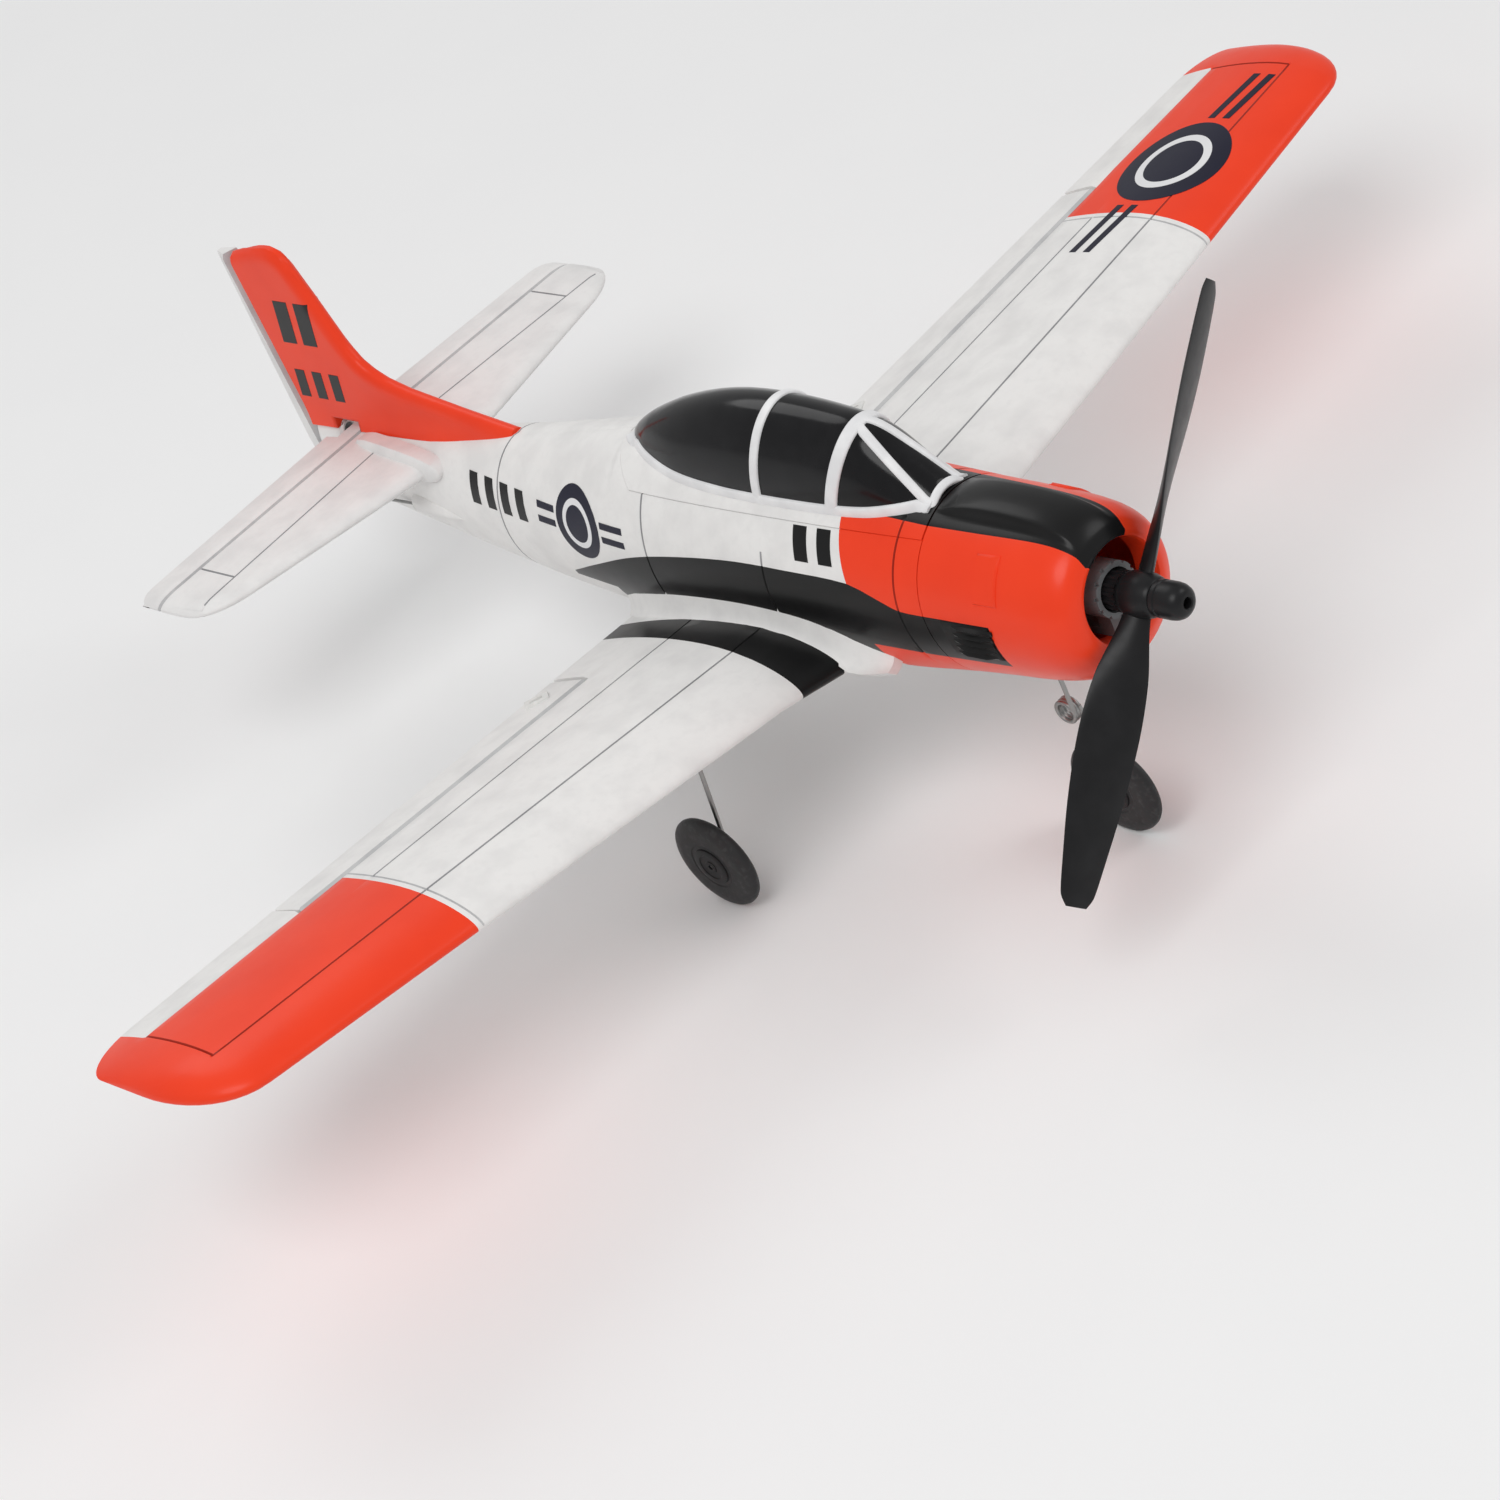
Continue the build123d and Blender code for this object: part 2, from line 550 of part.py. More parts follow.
def make_tail():
    """Tailplane, fin, elevator, rudder, horns and their wires."""
    plan = extrude(tail_plan(), amount=SURFACE_THICK)
    low = TAIL_Z - SURFACE_THICK / 2
    high = TAIL_Z + SURFACE_THICK / 2
    lean = SURFACE_THICK * math.tan(math.radians(TAIL_BEVEL))
    fixed = plan & block(-90, 90, 100, ELEVATOR_HINGE_Y - 0.1, low - 1, high + 1)
    front_edges = [e for e in fixed.edges() if e.center().Y < 165 and abs(e.center().Z - TAIL_Z) > 1]
    fixed = chamfer(front_edges, 1.5)
    hinge = ELEVATOR_HINGE_Y + 0.1
    wedge = side_prism([(hinge, low), (hinge + lean, high), (189, TAIL_Z + EDGE_HALF),
                        (189, TAIL_Z - EDGE_HALF)], -90, 90)
    elevator = (plan & wedge) - block(-5.6, 5.6, 183.5, 200, low - 1, high + 1)
    fin = side_prism(FIN_OUTLINE, -SURFACE_THICK / 2, SURFACE_THICK / 2) - block(*TAIL_NOTCH)
    side = SURFACE_THICK / 2
    front = RUDDER_HINGE_Y + 0.2
    blade = plan_prism([(side, front), (-side, front + lean), (-EDGE_HALF, 206.5),
                        (EDGE_HALF, 206.5)], -40, 80)
    rudder = side_prism(RUDDER_OUTLINE, -side, side) & blade
    return {
        "tailplane": largest(fixed),
        "elevator": largest(elevator),
        "vertical_fin": largest(fin),
        "rudder": largest(rudder),
        "elevator_horn": elevator_horn(),
        "rudder_horn": rudder_horn(),
        "elevator_pushrod": elevator_rod(),
        "rudder_pushrod": rudder_rod(),
    }


# ---------------------------------------------------------------- power train
def gear_face(teeth, outer_extra, root_short, turn):
    """Gear outline with straight-sided teeth, in the plane across the shaft."""
    pitch = GEAR_MODULE * teeth / 2
    outline = []
    root = pitch - root_short
    tip = pitch + outer_extra
    for i in range(teeth):
        for share, radius in ((-0.34, root), (-0.14, tip), (0.14, tip), (0.34, root)):
            angle = math.radians(turn) + 2 * math.pi * (i + share) / teeth
            outline.append((radius * math.cos(angle), radius * math.sin(angle)))
    return make_face(Polyline(*outline, close=True))


def gear_body(teeth, y0, y1, turn, x=0.0, z=0.0):
    """Spur gear between two planes across the shaft."""
    across = Plane(origin=(x, y1, z), x_dir=(1, 0, 0), z_dir=(0, -1, 0))
    return extrude(across * gear_face(teeth, 0.24, 0.34, turn), amount=y1 - y0)


def blade_wire(r, chord, pitch, thick, lean):
    """Lens-shaped blade section at radius r."""
    out = Vector(math.sin(math.radians(lean)), 0, math.cos(math.radians(lean)))
    travel = Vector(-out.Z, 0, out.X)
    forward = Vector(0, -1, 0)
    across = travel * math.cos(math.radians(pitch)) + forward * math.sin(math.radians(pitch))
    face = Plane(origin=Vector(0, PROP_Y, 0) + out * r, x_dir=across, z_dir=out)
    front = ThreePointArc((chord * 0.42, 0), (0.0, thick * 0.6), (-chord * 0.58, 0))
    back = ThreePointArc((-chord * 0.58, 0), (0.0, -thick * 0.4), (chord * 0.42, 0))
    return face * Wire([front.edge(), back.edge()])


def blade(lean):
    """One twisted propeller blade."""
    sections = [(3.0, 5.6, 62.0, 3.2), (8.0, 7.0, 55.0, 2.8), (18.0, 11.4, 42.0, 2.2),
                (30.0, 13.4, 32.0, 1.8), (44.0, 12.6, 25.0, 1.5), (56.0, 10.2, 21.0, 1.2),
                (63.5, 8.2, 19.0, 1.0), (PROP_R, 6.0, 18.0, 0.9)]
    wires = [blade_wire(r, chord, pitch, thick, lean) for r, chord, pitch, thick in sections]
    return Solid.make_loft(wires)


def turned_y(profile):
    """Turned body about the shaft line from (radius, y) points."""
    return revolve(make_face(Polyline(*[(r, y, 0) for r, y in profile], close=True)), axis=Axis.Y)


def make_power():
    """Propeller, shaft, gears, motor, bearings and the frame that carries them."""
    reach = GEAR_MODULE * (PINION_TEETH + SPUR_TEETH) / 2
    motor_x = reach * math.cos(math.radians(MOTOR_ANGLE))
    motor_z = reach * math.sin(math.radians(MOTOR_ANGLE))
    bulb = turned_y([(0, -81.0), (4.4, -81.0), (5.0, -83.5), (5.1, -85.5), (4.9, -87.5),
                     (4.1, -90.0), (0, -90.0)])
    shaft = rod_y(-91.0, -39.1, SHAFT_R)
    propeller = largest(blade(PROP_LEAN) + blade(PROP_LEAN + 180.0) + bulb - rod_y(-95, -30, SHAFT_R))
    cap = turned_y([(0, -90.0), (4.1, -90.0), (4.1, -94.6), (3.6, -96.6), (2.6, -97.6), (1.2, -97.8),
                    (1.2, -95.8), (0, -95.8)])
    cap -= rod_y(-91.0, -80, SHAFT_R)
    adapter = rod_y(-81.0, -75.2, 4.1)
    for i in range(14):
        angle = 2 * math.pi * i / 14
        adapter += rod_y(-81.0, -75.2, 0.5, 4.0 * math.cos(angle), 4.0 * math.sin(angle))
    adapter -= rod_y(-95, -30, SHAFT_R)
    spur = gear_body(SPUR_TEETH, GEAR_FACE[0], GEAR_FACE[1], MOTOR_ANGLE) - rod_y(-95, -30, SHAFT_R)
    spur += rod_y(GEAR_FACE[1], GEAR_FACE[1] + 1.6, 2.2) - rod_y(-95, -30, SHAFT_R)
    turn = MOTOR_ANGLE + 180.0 + 180.0 / PINION_TEETH
    pinion = gear_body(PINION_TEETH, GEAR_FACE[0] - 0.4, GEAR_FACE[1] + 0.4, turn, motor_x, motor_z)
    pinion += rod_y(-56.0, GEAR_FACE[1] + 0.4, 0.5, motor_x, motor_z)
    can = rod_y(MOTOR_Y[0], MOTOR_Y[1], MOTOR_R, motor_x, motor_z)
    can += rod_y(MOTOR_Y[1], MOTOR_Y[1] + 1.4, 1.5, motor_x, motor_z)
    can += rod_y(MOTOR_Y[0] - 1.2, MOTOR_Y[0], 1.6, motor_x, motor_z)
    can -= rod_y(-56.2, -50, 0.5 + RUN_GAP, motor_x, motor_z)
    rear_face = COWL_BACK_Y - BEARING_W
    frame = block(-12.5, 7.5, rear_face, COWL_BACK_Y, -10.8, 8.5)
    frame += block(-3.0, 3.0, -76.0, rear_face, -10.8, -8.8)
    frame += block(-12.5, 4.0, MOTOR_Y[1], MOTOR_Y[1] + 2.0, -10.8, 8.5)
    frame += rod_y(-78.0, -71.0, 6.2)
    frame += block(-3.0, 3.0, -76.0, -72.0, -10.8, -5.0)
    for i in range(12):
        angle = 2 * math.pi * (i + 0.5) / 12
        frame -= Pos(6.2 * math.cos(angle), -78.0, 6.2 * math.sin(angle)) * Box(0.9, 1.6, 0.9)
    frame -= rod_y(-78.5, -74.5, 4.9)
    frame -= rod_y(-75.0, -72.0, BEARING_R)
    frame -= rod_y(-73.0, -70.5, 2.0)
    frame -= rod_y(MOTOR_Y[1] - 0.1, MOTOR_Y[1] + 2.1, 2.0)
    frame -= rod_y(MOTOR_Y[1] - 0.1, MOTOR_Y[1] + 2.1, 1.5, motor_x, motor_z)
    frame -= rod_y(rear_face - 0.1, COWL_BACK_Y + 0.1, BEARING_R)
    bearings = []
    for y in (-74.5, rear_face):
        bearings.append(rod_y(y, y + BEARING_W, BEARING_R) - rod_y(-95, -30, SHAFT_R + RUN_GAP))
    screws = []
    for x, z in ((-10.0, 6.2), (5.0, 6.2), (5.0, -8.2), (-10.0, -8.2)):
        screws.append(rod_y(rear_face - 1.2, rear_face, 1.4, x, z) + rod_y(rear_face, -37.2, 0.7, x, z))
        frame -= rod_y(rear_face, COWL_BACK_Y, 0.7, x, z)
    return {
        "propeller": propeller,
        "prop_adapter": largest(adapter),
        "nose_cap": largest(cap),
        "prop_shaft": shaft,
        "spur_gear": largest(spur),
        "motor_pinion": largest(pinion),
        "motor_can": largest(can),
        "gearbox_frame": largest(frame),
        "shaft_bearings": Compound([largest(b) for b in bearings]),
        "gearbox_screws": Compound([largest(s) for s in screws]),
    }


# ---------------------------------------------------------------- equipment
def servo(sign, y):
    """Small servo for a tail control; sign is the side of its arm."""
    x0, x1 = sorted((sign * -3.0, sign * 6.0))
    case = block(x0, x1, y - 4.5, y + 12.0, FLOOR_Z, -6.0)
    case += block(x0, x1, y - 6.5, y + 14.0, -9.0, -8.0)
    return largest(case + Solid.make_cylinder(2.0, 0.5, Plane(origin=(sign * 1.5, y, -6.0))))


def servo_arm(sign, y):
    """Servo arm that points outboard, with a wide hole for the wire."""
    outline = [(0, y - 1.9), (0, y + 1.9), (sign * SERVO_ARM, y + 1.9), (sign * SERVO_ARM, y - 1.9)]
    arm = Pos(sign * 1.5, 0, 0) * plan_prism(outline, -5.5, -4.5)
    for x in (0.0, sign * SERVO_ARM):
        arm += Solid.make_cylinder(2.0, 1.0, Plane(origin=(sign * 1.5 + x, y, -5.5)))
    hole_at = Plane(origin=(sign * (1.5 + SERVO_ARM), y, -7.0))
    return largest(arm - Solid.make_cylinder(ROD_HOLE_R, 5.0, hole_at))


def make_equipment(cavity):
    """Battery, its tray, the receiver board and the two tail servos."""
    tray = cavity & block(-20, 20, -34.0, 7.0, -9.5, -8.0)
    for x in (-12.6, 11.4):
        tray += block(x, x + 1.2, -31.0, 5.5, -8.0, -5.0)
    battery = fillet(block(-11, 11, -33.5, 6.5, -8, 2).edges().filter_by(Axis.Y), 1.5)
    board = block(-9, 9, 13.0, 33.0, FLOOR_Z, -11.4)
    board += block(-4, 2, 16, 22, -11.4, -10.4)
    board += block(-7, 7, 28.5, 32.0, -11.4, -8.4)
    board += block(4, 7, 16, 24, -11.4, -10.0)
    return {
        "battery_tray": largest(tray),
        "battery_pack": battery,
        "flight_board": largest(board),
        "elevator_servo": servo(-1, ELEVATOR_SERVO_Y),
        "rudder_servo": servo(1, RUDDER_SERVO_Y),
        "elevator_servo_arm": servo_arm(-1, ELEVATOR_SERVO_Y),
        "rudder_servo_arm": servo_arm(1, RUDDER_SERVO_Y),
    }


# ---------------------------------------------------------------- undercarriage
def tyre(centre):
    """Thin tyre with sloping shoulders."""
    profile = [(HUB_R, -TYRE_HALF), (9.6, -TYRE_HALF), (11.6, -1.1), (WHEEL_R, -0.4), (WHEEL_R, 0.4),
               (11.6, 1.1), (9.6, TYRE_HALF), (HUB_R, TYRE_HALF)]
    ring = revolve(make_face(Polyline(*[(x, r, 0) for r, x in profile], close=True)), axis=Axis.X)
    return Pos(*centre) * ring


def hub(centre):
    """Wheel hub with a raised disc on each side and the axle bore."""
    disc = rod_x(-HUB_HALF, HUB_HALF, HUB_R, 0, 0)
    rims = disc.edges().filter_by(GeomType.CIRCLE)
    disc = fillet(rims, 0.35)
    return Pos(*centre) * (disc - rod_x(-5, 5, WIRE_R + RUN_GAP, 0, 0))


def make_gear():
    """Main and nose undercarriage with three wheels."""
    x, y, z = MAIN_WHEEL
    leg = bent_wire([MAIN_LEG_TOP, (MAIN_LEG_X, y, z), (x + 1.9, y, z)], [1.0], WIRE_R)
    collar = rod_x(x - 2.85, x - 2.4, 1.3, y, z) - rod_x(40, 70, WIRE_R, y, z)
    nx, ny, nz = NOSE_WHEEL
    front = COIL[1] - COIL_R
    upper = rod(NOSE_LEG_TOP, (NOSE_LEG_TOP[0], front, COIL[2]), WIRE_R)
    nose = upper
    for turn_x in (-0.9, 0.0, 0.9):
        ring = Plane(origin=(turn_x, COIL[1], COIL[2]), z_dir=(1, 0, 0)) * Torus(COIL_R, WIRE_R)
        nose += ring
    lower = bent_wire([(0.9, front, COIL[2] + 1.0), (1.3, front - 0.3, COIL[2] - 3.0),
                       (NOSE_LEG_X, ny + 1.0, nz + 8.0), (NOSE_LEG_X, ny, nz), (nx - 1.9, ny, nz)],
                      [2.0, 4.0, 0.8], WIRE_R)
    nose += lower
    nose_collar = rod_x(nx + 2.4, nx + 2.8, 1.3, ny, nz) - rod_x(-10, 10, WIRE_R, ny, nz)
    wheels = {"nose": NOSE_WHEEL, "main_left": MAIN_WHEEL}
    parts = {
        "main_gear_leg_left": leg,
        "main_gear_leg_right": mirrored(leg),
        "nose_gear_leg": largest(nose),
        "axle_collars": Compound([collar, mirrored(collar), nose_collar]),
    }
    for name, centre in wheels.items():
        parts["tyre_" + name] = tyre(centre)
        parts["hub_" + name] = hub(centre)
    parts["tyre_main_right"] = mirrored(parts["tyre_main_left"])
    parts["hub_main_right"] = mirrored(parts["hub_main_left"])
    return parts


# ---------------------------------------------------------------- assembly
def main():
    outer = fuselage_loft(BODY_STATIONS)
    parts = make_wing(outer)
    body, cavity = make_fuselage(outer)
    parts.update(body)
    parts.update(make_canopy(outer))
    parts.update(make_cowl())
    parts.update(make_tail())
    parts.update(make_power())
    parts.update(make_equipment(cavity))
    parts.update(make_gear())
    for screw in parts["gearbox_screws"].solids():
        parts["firewall"] -= screw
    stance = Pos(0, -BOX_MIDDLE_Y, -GROUND_Z) * Rot(-STANCE, 0, 0)
    os.makedirs("parts", exist_ok=True)
    for name, shape in parts.items():
        export_step(stance * shape, "parts/" + name + ".step")
    print(len(parts), "nodes, stance", round(STANCE, 3), "degrees, ground", round(GROUND_Z, 3))


main()
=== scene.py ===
import math

import bmesh
import bpy
from mathutils import Matrix, Vector


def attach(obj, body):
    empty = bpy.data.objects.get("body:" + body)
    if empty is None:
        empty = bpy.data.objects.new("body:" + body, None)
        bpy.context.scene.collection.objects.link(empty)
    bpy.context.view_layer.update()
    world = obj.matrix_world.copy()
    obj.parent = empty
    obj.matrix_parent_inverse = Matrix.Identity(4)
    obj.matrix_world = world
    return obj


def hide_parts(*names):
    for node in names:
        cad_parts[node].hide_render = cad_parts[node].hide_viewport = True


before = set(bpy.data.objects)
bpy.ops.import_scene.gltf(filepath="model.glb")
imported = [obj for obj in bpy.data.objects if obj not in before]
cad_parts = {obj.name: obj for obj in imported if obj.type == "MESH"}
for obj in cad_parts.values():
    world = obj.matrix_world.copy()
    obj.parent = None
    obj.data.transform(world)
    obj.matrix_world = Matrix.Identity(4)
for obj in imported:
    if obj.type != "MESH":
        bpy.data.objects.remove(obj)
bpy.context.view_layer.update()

# Shapes are drawn in airframe millimetres (+X left wing, +Y aft, +Z up, propeller shaft on X = Z = 0),
# the same axes, tables and formulas as part.py, and then turned to the nose-up stance and put into metres.
MAIN_AXLE = (20.8, -52.4)
NOSE_AXLE = (-53.3, -58.3)
WHEEL_R = 12.2
STANCE = math.atan2(MAIN_AXLE[1] - NOSE_AXLE[1], MAIN_AXLE[0] - NOSE_AXLE[0])
GROUND = WHEEL_R + MAIN_AXLE[0] * math.sin(STANCE) - MAIN_AXLE[1] * math.cos(STANCE)
MIDDLE_Y = 54.93
MM = 0.001
WELD = 2e-6

# wing
TIP_X = 199.7
TIP_START = 184.0
TIP_FRONT_DRAW = 25.0
TIP_REAR_DRAW = 8.0
GLOVE_X = 38.0
WING_IN_X = 15.0
AILERON = (47.3, 141.3)
END_GAP = 0.8
HINGE = 0.788
HINGE_GAP = 0.15
AILERON_LEAN = math.tan(math.radians(24.0))
RED_FROM = 128.5
STRIP_TO = 187.6
LINE_W = 0.3
LINE_DEPTH = 0.4

# fuselage
SEAM_Y = -38.6
MOUTH_R = 11.3
FOAM_WALL = 2.6
COWL_WALL = 2.0
HATCH_Z = 15.2
HATCH_GAP = 0.25
HATCH_REAR_Y = 55.5
HATCH_SLOPE = 7.8 / 10.5
SADDLE = (-8.0, 72.0)
SADDLE_Z = -16.0
POCKET_X = 10.5          # half width of the aileron servo's pocket, and of the slider's relief under it
POCKET_Y = (19.0, 35.0)
RELIEF_X = 12.5
RELIEF_Y = (24.8, 29.2)
TAIL_HOLD_Y = 88.0       # behind this the rows of the skin keep their angle

# tail
TAIL_Z = 5.0
TAIL_THICK = 4.4
TAIL_SPAN = 75.5
ELEVATOR_Y = 175.6
RUDDER_Y = 197.6
TAIL_LEAN = math.tan(math.radians(27.0))
FIN_HALF = 2.2

STATIONS = [
    (-79.5, 12.8, -13.6, 13.4, -0.4), (-78.3, 15.2, -16.4, 15.9, -0.5), (-75.0, 17.2, -19.2, 17.9, -0.7),
    (-70.0, 18.3, -21.0, 19.0, -0.9), (-62.0, 18.9, -22.4, 19.6, -1.0), (-51.0, 19.2, -23.5, 19.9, -1.0),
    (-38.6, 19.5, -25.0, 20.1, -1.0), (-16.0, 20.3, -28.0, 20.9, -1.5), (10.0, 21.0, -29.0, 21.4, -2.0),
    (35.0, 21.8, -29.0, 21.2, -2.5), (55.0, 22.2, -28.5, 20.4, -3.0), (66.0, 21.6, -28.0, 19.7, -3.3),
    (80.0, 19.2, -27.0, 18.4, -3.8), (100.0, 15.8, -25.3, 16.3, -4.5), (111.0, 14.2, -23.8, 15.0, -5.0),
    (130.0, 11.9, -21.6, 12.7, -5.0), (150.0, 10.2, -19.2, 10.0, -5.0), (172.0, 8.8, -16.8, 7.0, -4.5),
    (190.0, 8.0, -14.8, 4.2, -4.0), (197.0, 7.6, -14.0, 3.2, -4.0),
]
CANOPY = [
    (-37.0, 20.6, 6.0, 15.5), (-28.0, 28.4, 8.4, 16.0), (-20.0, 34.4, 10.0, 17.0), (-8.0, 36.6, 11.0, 18.5),
    (10.0, 37.6, 11.6, 19.0), (25.0, 36.6, 11.6, 19.0), (40.0, 33.2, 10.6, 18.5), (52.0, 28.8, 8.0, 18.0),
    (59.0, 25.2, 5.0, 18.0), (62.5, 22.6, 2.4, 18.0),
]
# the black swoosh on the fuselage side: its upper and lower edges as (y, z)
SWOOSH_UP = [(-58.0, 1.1), (-44.0, 0.9), (-33.0, 0.9), (-29.0, 1.8), (-24.3, 3.6), (-17.2, 5.6), (1.8, 6.0),
             (20.3, 5.7), (40.7, 3.5), (58.6, -0.1), (75.8, -6.1), (88.0, -11.2)]
SWOOSH_LOW = [(-58.0, -10.8), (-36.5, -11.7), (-17.0, -11.2), (60.0, -12.6), (88.0, -12.6)]
FAIRING = [
    (-19.0, -15.8, 20.6), (-13.5, -12.4, 22.8), (-5.0, -7.6, 23.6), (8.0, -5.0, 23.4), (25.6, -4.9, 23.8),
    (47.3, -7.9, 23.4), (65.7, -12.7, 20.9), (71.5, -15.4, 18.6),
]
FIN_TOP = [(112.0, 15.0), (130.0, 18.0), (150.0, 21.6), (158.0, 23.9), (162.0, 26.0), (165.0, 28.5),
           (167.6, 33.0), (171.6, 46.0), (175.0, 56.0), (177.5, 59.4), (181.0, 60.6), (190.0, 59.5),
           (197.4, 57.9)]

RUDDER_REAR = [(-13.4, 198.6), (-12.4, 201.0), (-10.0, 204.0), (-6.0, 205.4), (0.0, 205.8), (57.9, 203.4)]
FIN_FOOT = [(114.6, 0.6), (115.4, 1.5), (117.0, 2.4), (121.0, 3.5), (130.0, 5.0), (140.0, 6.1), (150.0, 6.4),
            (175.0, 5.6)]

# rows of the fuselage and cowl skins, counted up from the keel, and where their colours change
BODY_COUNTS = [7, 2, 6, 10, 6]
SADDLE_ROW = 7
SWOOSH_ROWS = (9, 15)
SEAM_ROW = 25
COWL_COUNTS = [10, 6, 9, 3, 5, 4]
BODY_LINES = [-31.6, 9.4, 50.6, 111.5]
RED_EDGE_Y = -17.2
HATCH_EDGE_Y = -14.2

# propeller: blade stations are (radius, chord, pitch in degrees, thickness)
PROP_Y = -85.5
PROP_LEAN = math.radians(45.5)
BLADE = [(3.0, 5.6, 62.0, 3.2), (8.0, 7.0, 55.0, 2.8), (18.0, 11.4, 42.0, 2.2), (30.0, 13.4, 32.0, 1.8),
         (44.0, 12.6, 25.0, 1.5), (56.0, 10.2, 21.0, 1.2), (63.5, 8.2, 19.0, 1.0), (66.2, 6.4, 18.0, 0.8)]


# ---------------------------------------------------------------- helpers
def place(point):
    """Airframe millimetres to the row's metres."""
    x, y, z = point
    along = y * math.cos(STANCE) + z * math.sin(STANCE) - MIDDLE_Y
    up = z * math.cos(STANCE) - y * math.sin(STANCE) + GROUND
    return Vector((x, along, up)) * MM


def curve(points, at, column=1):
    """Smooth value through the points of a table at one place."""
    if at <= points[0][0]:
        return points[0][column]
    if at >= points[-1][0]:
        return points[-1][column]
    k = max(i for i in range(len(points) - 1) if points[i][0] <= at)

    def slope(i):
        low = max(i - 1, 0)
        high = min(i + 1, len(points) - 1)
        return (points[high][column] - points[low][column]) / (points[high][0] - points[low][0])

    run = points[k + 1][0] - points[k][0]
    t = (at - points[k][0]) / run
    start = points[k][column] * (1 + 2 * t) * (1 - t) ** 2 + slope(k) * run * t * (1 - t) ** 2
    end = points[k + 1][column] * t * t * (3 - 2 * t) + slope(k + 1) * run * t * t * (t - 1)
    return start + end


def spread(low, high, count):
    """Even steps from low to high, without high."""
    return [low + (high - low) * i / count for i in range(count)]


def knots(values, counts):
    """Even steps between neighbouring values."""
    steps = []
    for low, high, count in zip(values, values[1:], counts):
        steps += spread(low, high, count)
    return steps + [values[-1]]


def mirrored(left, start=0):
    """A row of points from the left side carried over to the right."""
    return left + [(-x, y, z) for x, y, z in reversed(left[start:-1])]


class Skin:
    """Painted faces in airframe millimetres that become one welded mesh."""

    def __init__(self, side=1):
        self.mesh = bmesh.new()
        self.corners = {}
        self.paints = []
        self.side = side

    def corner(self, point):
        at = place((point[0] * self.side, point[1], point[2]))
        key = tuple(round(value * 1e7) for value in at)
        if key not in self.corners:
            self.corners[key] = self.mesh.verts.new(at)
        return self.corners[key]

    def face(self, points, paint):
        kept = []
        for point in points:
            corner = self.corner(point)
            if corner not in kept:
                kept.append(corner)
        if len(kept) < 3 or self.mesh.faces.get(kept):
            return
        if paint not in self.paints:
            self.paints.append(paint)
        face = self.mesh.faces.new(kept)
        face.material_index = self.paints.index(paint)
        face.smooth = True

    def slab(self, outer, inner, paint, keep=None, front=None, back=None):
        """Thick patch between two grids of points, open where keep(j, i) is false."""
        cells = {(j, i) for j in range(len(outer) - 1) for i in range(len(outer[0]) - 1)
                 if keep is None or keep(j, i)}
        for j, i in sorted(cells):
            ring = [(j, i), (j, i + 1), (j + 1, i + 1), (j + 1, i)]
            colour = paint(j, i)
            self.face([outer[a][b] for a, b in ring], colour)
            self.face([inner[a][b] for a, b in reversed(ring)], back(j, i) if back else colour)
            beside = [(j - 1, i), (j, i + 1), (j + 1, i), (j, i - 1)]
            for k in range(4):
                if beside[k] in cells:
                    continue
                (a, b), (c, d) = ring[k], ring[(k + 1) % 4]
                rim = front if front and k == 3 else colour
                self.face([outer[a][b], inner[a][b], inner[c][d], outer[c][d]], rim)

    def loops(self, rings, paint, ends=True):
        """Closed tube through rings of points, with flat ends."""
        count = len(rings[0])
        for j in range(len(rings) - 1):
            for i in range(count):
                n = (i + 1) % count
                self.face([rings[j][i], rings[j][n], rings[j + 1][n], rings[j + 1][i]], paint(j, i))
        if ends:
            self.face(rings[0], paint(0, 0))
            self.face(list(reversed(rings[-1])), paint(len(rings) - 2, 0))

    def piece(self, name, body, *nodes, sharp=40.0):
        """The welded object, riding on its body in place of its CAD nodes."""
        bmesh.ops.remove_doubles(self.mesh, verts=self.mesh.verts, dist=WELD)
        bmesh.ops.dissolve_degenerate(self.mesh, edges=self.mesh.edges, dist=WELD / 4)
        bmesh.ops.recalc_face_normals(self.mesh, faces=self.mesh.faces)
        data = bpy.data.meshes.new(name)
        self.mesh.to_mesh(data)
        self.mesh.free()
        for paint in self.paints:
            data.materials.append(MATERIALS[paint])
        data.set_sharp_from_angle(angle=math.radians(sharp))
        made = bpy.data.objects.new(name, data)
        bpy.context.scene.collection.objects.link(made)
        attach(made, body)
        if nodes:
            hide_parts(*nodes)
        return made


def carve(made, low, high):
    """Cuts a box, given by its airframe corners, out of a finished piece."""
    tool = Skin()
    ring = [(low[0], low[2]), (high[0], low[2]), (high[0], high[2]), (low[0], high[2])]
    rings = [[(x, y, z) for x, z in ring] for y in (low[1], high[1])]
    tool.loops(rings, lambda j, i: "white foam")
    bmesh.ops.recalc_face_normals(tool.mesh, faces=tool.mesh.faces)
    data = bpy.data.meshes.new("cutter")
    tool.mesh.to_mesh(data)
    tool.mesh.free()
    data.materials.append(MATERIALS["white foam"])
    cutter = bpy.data.objects.new("cutter", data)
    bpy.context.scene.collection.objects.link(cutter)
    cut = made.modifiers.new("notch", "BOOLEAN")
    cut.object = cutter
    cut.operation = "DIFFERENCE"
    cut.solver = "EXACT"
    graph = bpy.context.evaluated_depsgraph_get()
    shape = bpy.data.meshes.new_from_object(made.evaluated_get(graph), depsgraph=graph)
    made.modifiers.clear()
    made.data = shape
    bpy.data.objects.remove(cutter)


